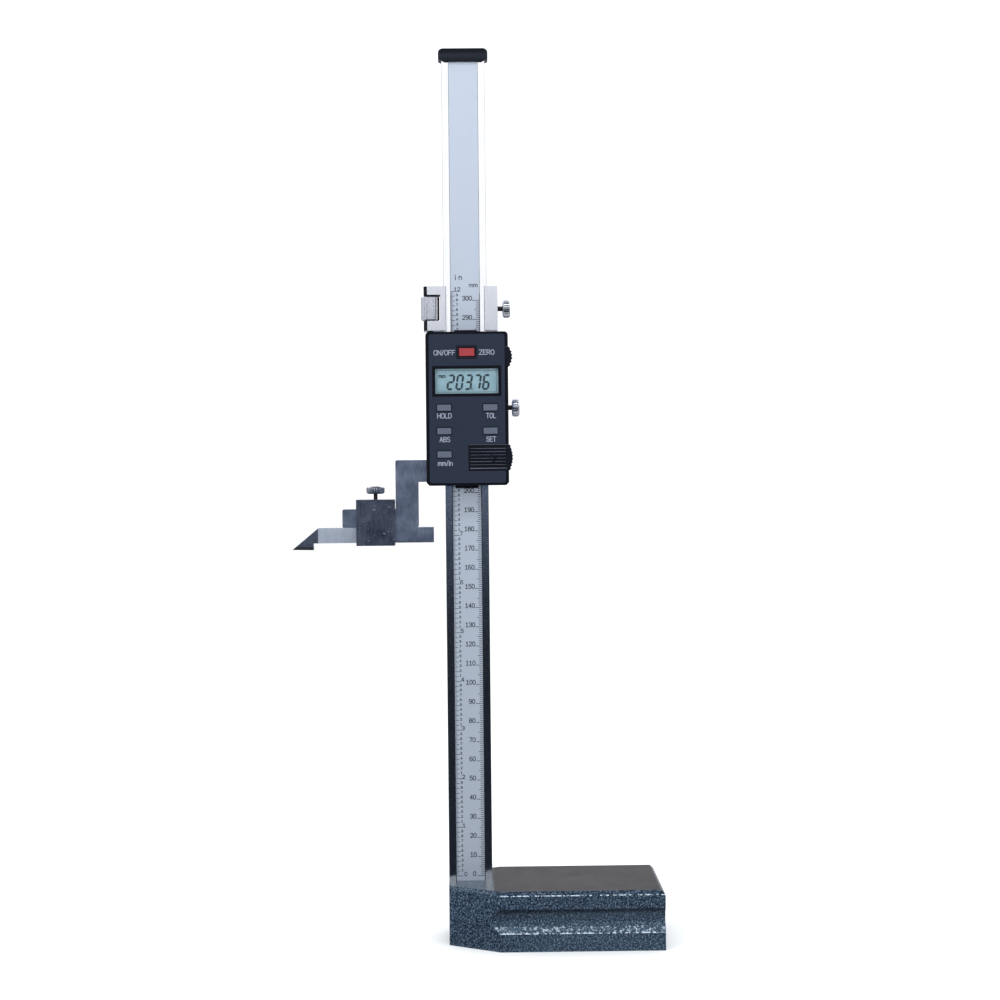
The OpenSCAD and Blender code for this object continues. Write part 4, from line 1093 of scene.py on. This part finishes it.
def lip_edge(edge):
    """Whether an edge of the clamp runs up the front of a lip beside the strip, where a shadow line
    is painted.
    """
    a, b = ends_of(edge)
    upright = abs(a.x - b.x) < NEAR and abs(a.y - b.y) < NEAR
    return upright and abs(a.y - CLAMP_LOW.y) < BESIDE and abs(a.x) < LIP_X


def clamp_pieces():
    """The fine clamp and its nut, the thumb screws and the ridges of the covers."""
    # Its lips beside the strip get a painted shadow line, and its window's walls painted shade
    dressed(
        "fine_clamp", "bright_steel", faces=window_wall, extra=["gap_steel"],
        passes=[(0.3, 1, lip_edge, 1), (0.22, 2, None, 0)])
    dressed("fine_nut", "screw_steel", 0.06, 1)
    thumb_screw("fine_clamp_screw", 0)
    thumb_screw("slider_lock_screw", 0)
    thumb_screw("scriber_clamp_screw", 2)
    cover_teeth("battery_cover", BATTERY_TEETH)
    cover_teeth("port_cover", PORT_TEETH)


# Faces of the scriber that lean left more than this are its ground facets
FACET_SLOPE = -0.15


def scriber_pieces():
    """The scriber in its box. It is bright left of the box, and right of it takes the duller
    frame_steel as painted shade from the box.
    """
    dressed("scriber_clamp", "box_steel", 0.35, 3)
    box_low, box_high = box_mm("scriber_clamp")
    box_middle = (box_low.x + box_high.x) / 2

    def finish(face):
        if face.normal.x < FACET_SLOPE:
            return 1
        # Right of the box's middle: the darker frame_steel, painted shade
        return 2 if face.calc_center_median().x > box_middle * MM else 0

    dressed(
        "scriber_bar", "scriber_steel", 0.1, 1, faces=finish,
        extra=["facet_steel", "frame_steel"], cut_x=box_middle)
    dressed("carbide_tip", "carbide", 0.06, 1)


def key_pieces():
    """The six keys."""
    for key in ("hold", "abs", "unit", "tol", "set"):
        dressed("key_" + key, "grey_key", 0.3, 3)
    dressed("key_zero", "red_key", 0.55, 3)


def hidden_finishes():
    """Gives every CAD node that stays its slot's material."""
    for node, piece in frame["nodes"].items():
        if not piece.hide_render:
            piece.data.materials.clear()
            piece.data.materials.append(MATERIALS[RECORD_SLOTS[node]])


# Studio, in metres


def plain(name, colour, rough):
    """A finish with a faint mottle, for what isn't part of the gauge."""
    darker = [c * 0.985 for c in colour]
    material = surface(darker, colour, (rough, rough), 60, turn=0.1, Specular_IOR_Level=0)
    material.name = name
    return material


FLOOR_HALF = 20


def floor():
    """A wide pale floor."""
    form = bmesh.new()
    corners = [(-1, -1), (1, -1), (1, 1), (-1, 1)]
    form.faces.new([form.verts.new((x * FLOOR_HALF, y * FLOOR_HALF, 0)) for x, y in corners])
    piece = object_from(form, "floor", [plain("floor_finish", (0.93, 0.93, 0.93), 0.8)])


# The bench that only reflections see: its greys in front of the gauge and behind it, and where
# one turns into the other. A side's place is 0 in front and 1 behind.
BENCH_DARK = 0.009
BENCH_LIGHT = 0.34
BENCH_TURN_FROM = 0.14
BENCH_TURN_WIDE = 0.36
# Its parts round the gauge, its radius and height, its rim's mean height and swing, and the
# least grey of the rim
BENCH_STEPS = 96
BENCH_R = 3.0
BENCH_Z = 0.001
BENCH_RIM = (0.8, 0.36)
RIM_LIGHT = 0.155
# Close to the gauge it is light on the right: how light, how soon, and where that fades out
NEAR_LIGHT = 0.8
NEAR_GAIN = 1.5
NEAR_R = (0.1, 0.15)
BENCH_INNER = 0.001
# Its tint where it is dark and where it is light
TINT_DARK = (0.72, 1, 1.6)
TINT_LIGHT = (1, 1, 1.05)


def bench_tone(side):
    """Grey of the bench towards a side."""
    place = (side.y + 1) / 2
    away = min(1, max(0, (place - BENCH_TURN_FROM) / BENCH_TURN_WIDE))
    return BENCH_DARK + (BENCH_LIGHT - BENCH_DARK) * away * away * (3 - 2 * away)


def tinted(level, light):
    """A grey of this level, tinted by how light the bench is there."""
    share = min(1, light / BENCH_LIGHT)
    tint = [dark + (pale - dark) * share for dark, pale in zip(TINT_DARK, TINT_LIGHT)]
    return (*(level * part for part in tint), 1)


def bench_finish():
    """A dull finish that takes its grey from the mesh."""
    material = plain("bench_finish", (1, 1, 1), 1.0)
    shader = material.node_tree.nodes["Principled BSDF"]
    mottle = shader.inputs["Base Color"].links[0].from_node
    tone = add(material.node_tree, "Attribute", attribute_name="tone")
    tint = multiplied(material.node_tree, mottle, "Color", tone, "Color")
    join(tint, "Color", shader, "Base Color")
    return material


def bench_spoke(form, side, tone):
    """The bench's corners from its middle out to its rim, towards a side."""
    grey = bench_tone(side)
    near = min(NEAR_LIGHT, grey + NEAR_LIGHT * max(0, side.x) * NEAR_GAIN)
    stops = [
        (BENCH_INNER, BENCH_Z, near, near), (NEAR_R[0], BENCH_Z, near, near),
        (NEAR_R[1], BENCH_Z, grey, grey), (BENCH_R, BENCH_Z, grey, grey),
        (BENCH_R, BENCH_RIM[0] + BENCH_RIM[1] * side.y, max(grey, RIM_LIGHT), grey),
    ]
    spoke = []
    for far, high, level, light in stops:
        vert = form.verts.new(side * far + Vector((0, 0, high)))
        vert[tone] = tinted(level, light)
        spoke.append(vert)
    return spoke


def bench():
    """A bench round the gauge that only its reflections see, with a rim higher at the back."""
    form = bmesh.new()
    tone = form.verts.layers.float_color.new("tone")
    spokes = []
    for i in range(BENCH_STEPS):
        angle = 2 * math.pi * i / BENCH_STEPS
        spokes.append(bench_spoke(form, Vector((math.cos(angle), math.sin(angle), 0)), tone))
    for here, there in zip(spokes, spokes[1:] + spokes[:1]):
        for k in range(len(here) - 1):
            form.faces.new([here[k], here[k + 1], there[k + 1], there[k]])
    piece = object_from(form, "bench", [bench_finish()])
    piece.visible_camera = False
    piece.visible_diffuse = False
    piece.visible_shadow = False
    piece.visible_transmission = False


# Strength of the white surroundings and of the ceiling, and the sines of the heights between
# which one turns into the other
SKY = 1.2
CEILING = 0.2
CEILING_FROM = (0.78, 0.9)

# Lights: name, place and target in metres, width and height, and power in watts
LIGHT_COLOUR = (0.86, 0.93, 1)
MIDDLE = (0, 0, 0.25)
LIGHTS = [
    ("main_light", (-0.8, -1.1, 1.3), MIDDLE, 0.5, 0.5, 3),
    ("side_light", (1.2, -0.7, 0.9), MIDDLE, 0.5, 0.5, 2),
    ("back_light", (0.3, 1.3, 1.2), MIDDLE, 0.8, 0.8, 4),
    ("strip_light", (0.05, -0.75, 1.2), (0.05, -0.03, 0.02), 1.4, 0.05, 3.5),
]


def area_light(name, place, target, wide, high, power):
    """A soft light at a place, turned to a target, in metres and watts."""
    light = bpy.data.lights.new(name, "AREA")
    light.shape = "RECTANGLE"
    light.color = LIGHT_COLOUR
    light.size = wide
    light.size_y = high
    light.energy = power
    holder = bpy.data.objects.new(name, light)
    holder.location = place
    aim = Vector(target) - Vector(place)
    holder.rotation_euler = aim.to_track_quat("-Z", "Y").to_euler()
    into_scene(holder)


def sky():
    """White all round. Straight overhead, gloss reflects a dark ceiling."""
    world = bpy.data.worlds.new("studio")
    world.use_nodes = True
    tree = world.node_tree
    white = tree.nodes["Background"]
    white.inputs["Color"].default_value = (0.98, 0.99, 1, 1)
    white.inputs["Strength"].default_value = SKY
    ceiling = add(tree, "Background", Color=(0.9, 0.94, 1, 1), Strength=CEILING)
    place = add(tree, "TexCoord")
    parts = add(tree, "SeparateXYZ")
    join(place, "Generated", parts, "Vector")
    high = remap(tree, parts, "Z", CEILING_FROM, (0, 1))
    ray = add(tree, "LightPath")
    share = add(tree, "Math", operation="MULTIPLY")
    join(high, "Result", share, 0)
    join(ray, "Is Glossy Ray", share, 1)
    mix = add(tree, "MixShader")
    join(share, "Value", mix, 0)
    join(white, "Background", mix, 1)
    join(ceiling, "Background", mix, 2)
    join(mix, "Shader", tree.nodes["World Output"], "Surface")
    return world


def lights():
    """White surroundings and the four lights."""
    bpy.context.scene.world = sky()
    bpy.context.scene.view_settings.view_transform = "Standard"
    for light in LIGHTS:
        area_light(*light)


def camera():
    """The camera at the photograph's angle."""
    yaw, pitch, roll = (math.radians(a) for a in (YAW_DEG, PITCH_DEG, ROLL_DEG))
    lens = bpy.data.cameras.new("camera")
    lens.sensor_width = 36
    lens.lens = FOCAL_PX / FRAME_PX * lens.sensor_width
    lens.clip_start = 0.01
    lens.clip_end = 100
    holder = bpy.data.objects.new("camera", lens)
    level = Matrix.Rotation(-yaw, 4, "Z") @ Matrix.Rotation(math.pi / 2 + pitch, 4, "X")
    turn = level @ Matrix.Rotation(roll, 4, "Z")
    holder.matrix_world = Matrix.Translation(metres(*CAMERA_AT_MM)) @ turn
    into_scene(holder)
    bpy.context.scene.camera = holder


camera()
lights()
floor()
bench()
base_piece()
column_pieces()
case_pieces()
clamp_pieces()
scriber_pieces()
key_pieces()
threaded_rod()
scale_marks()
display_reading()
slider_lines()
film_words()
cover_arrow()
hidden_finishes()
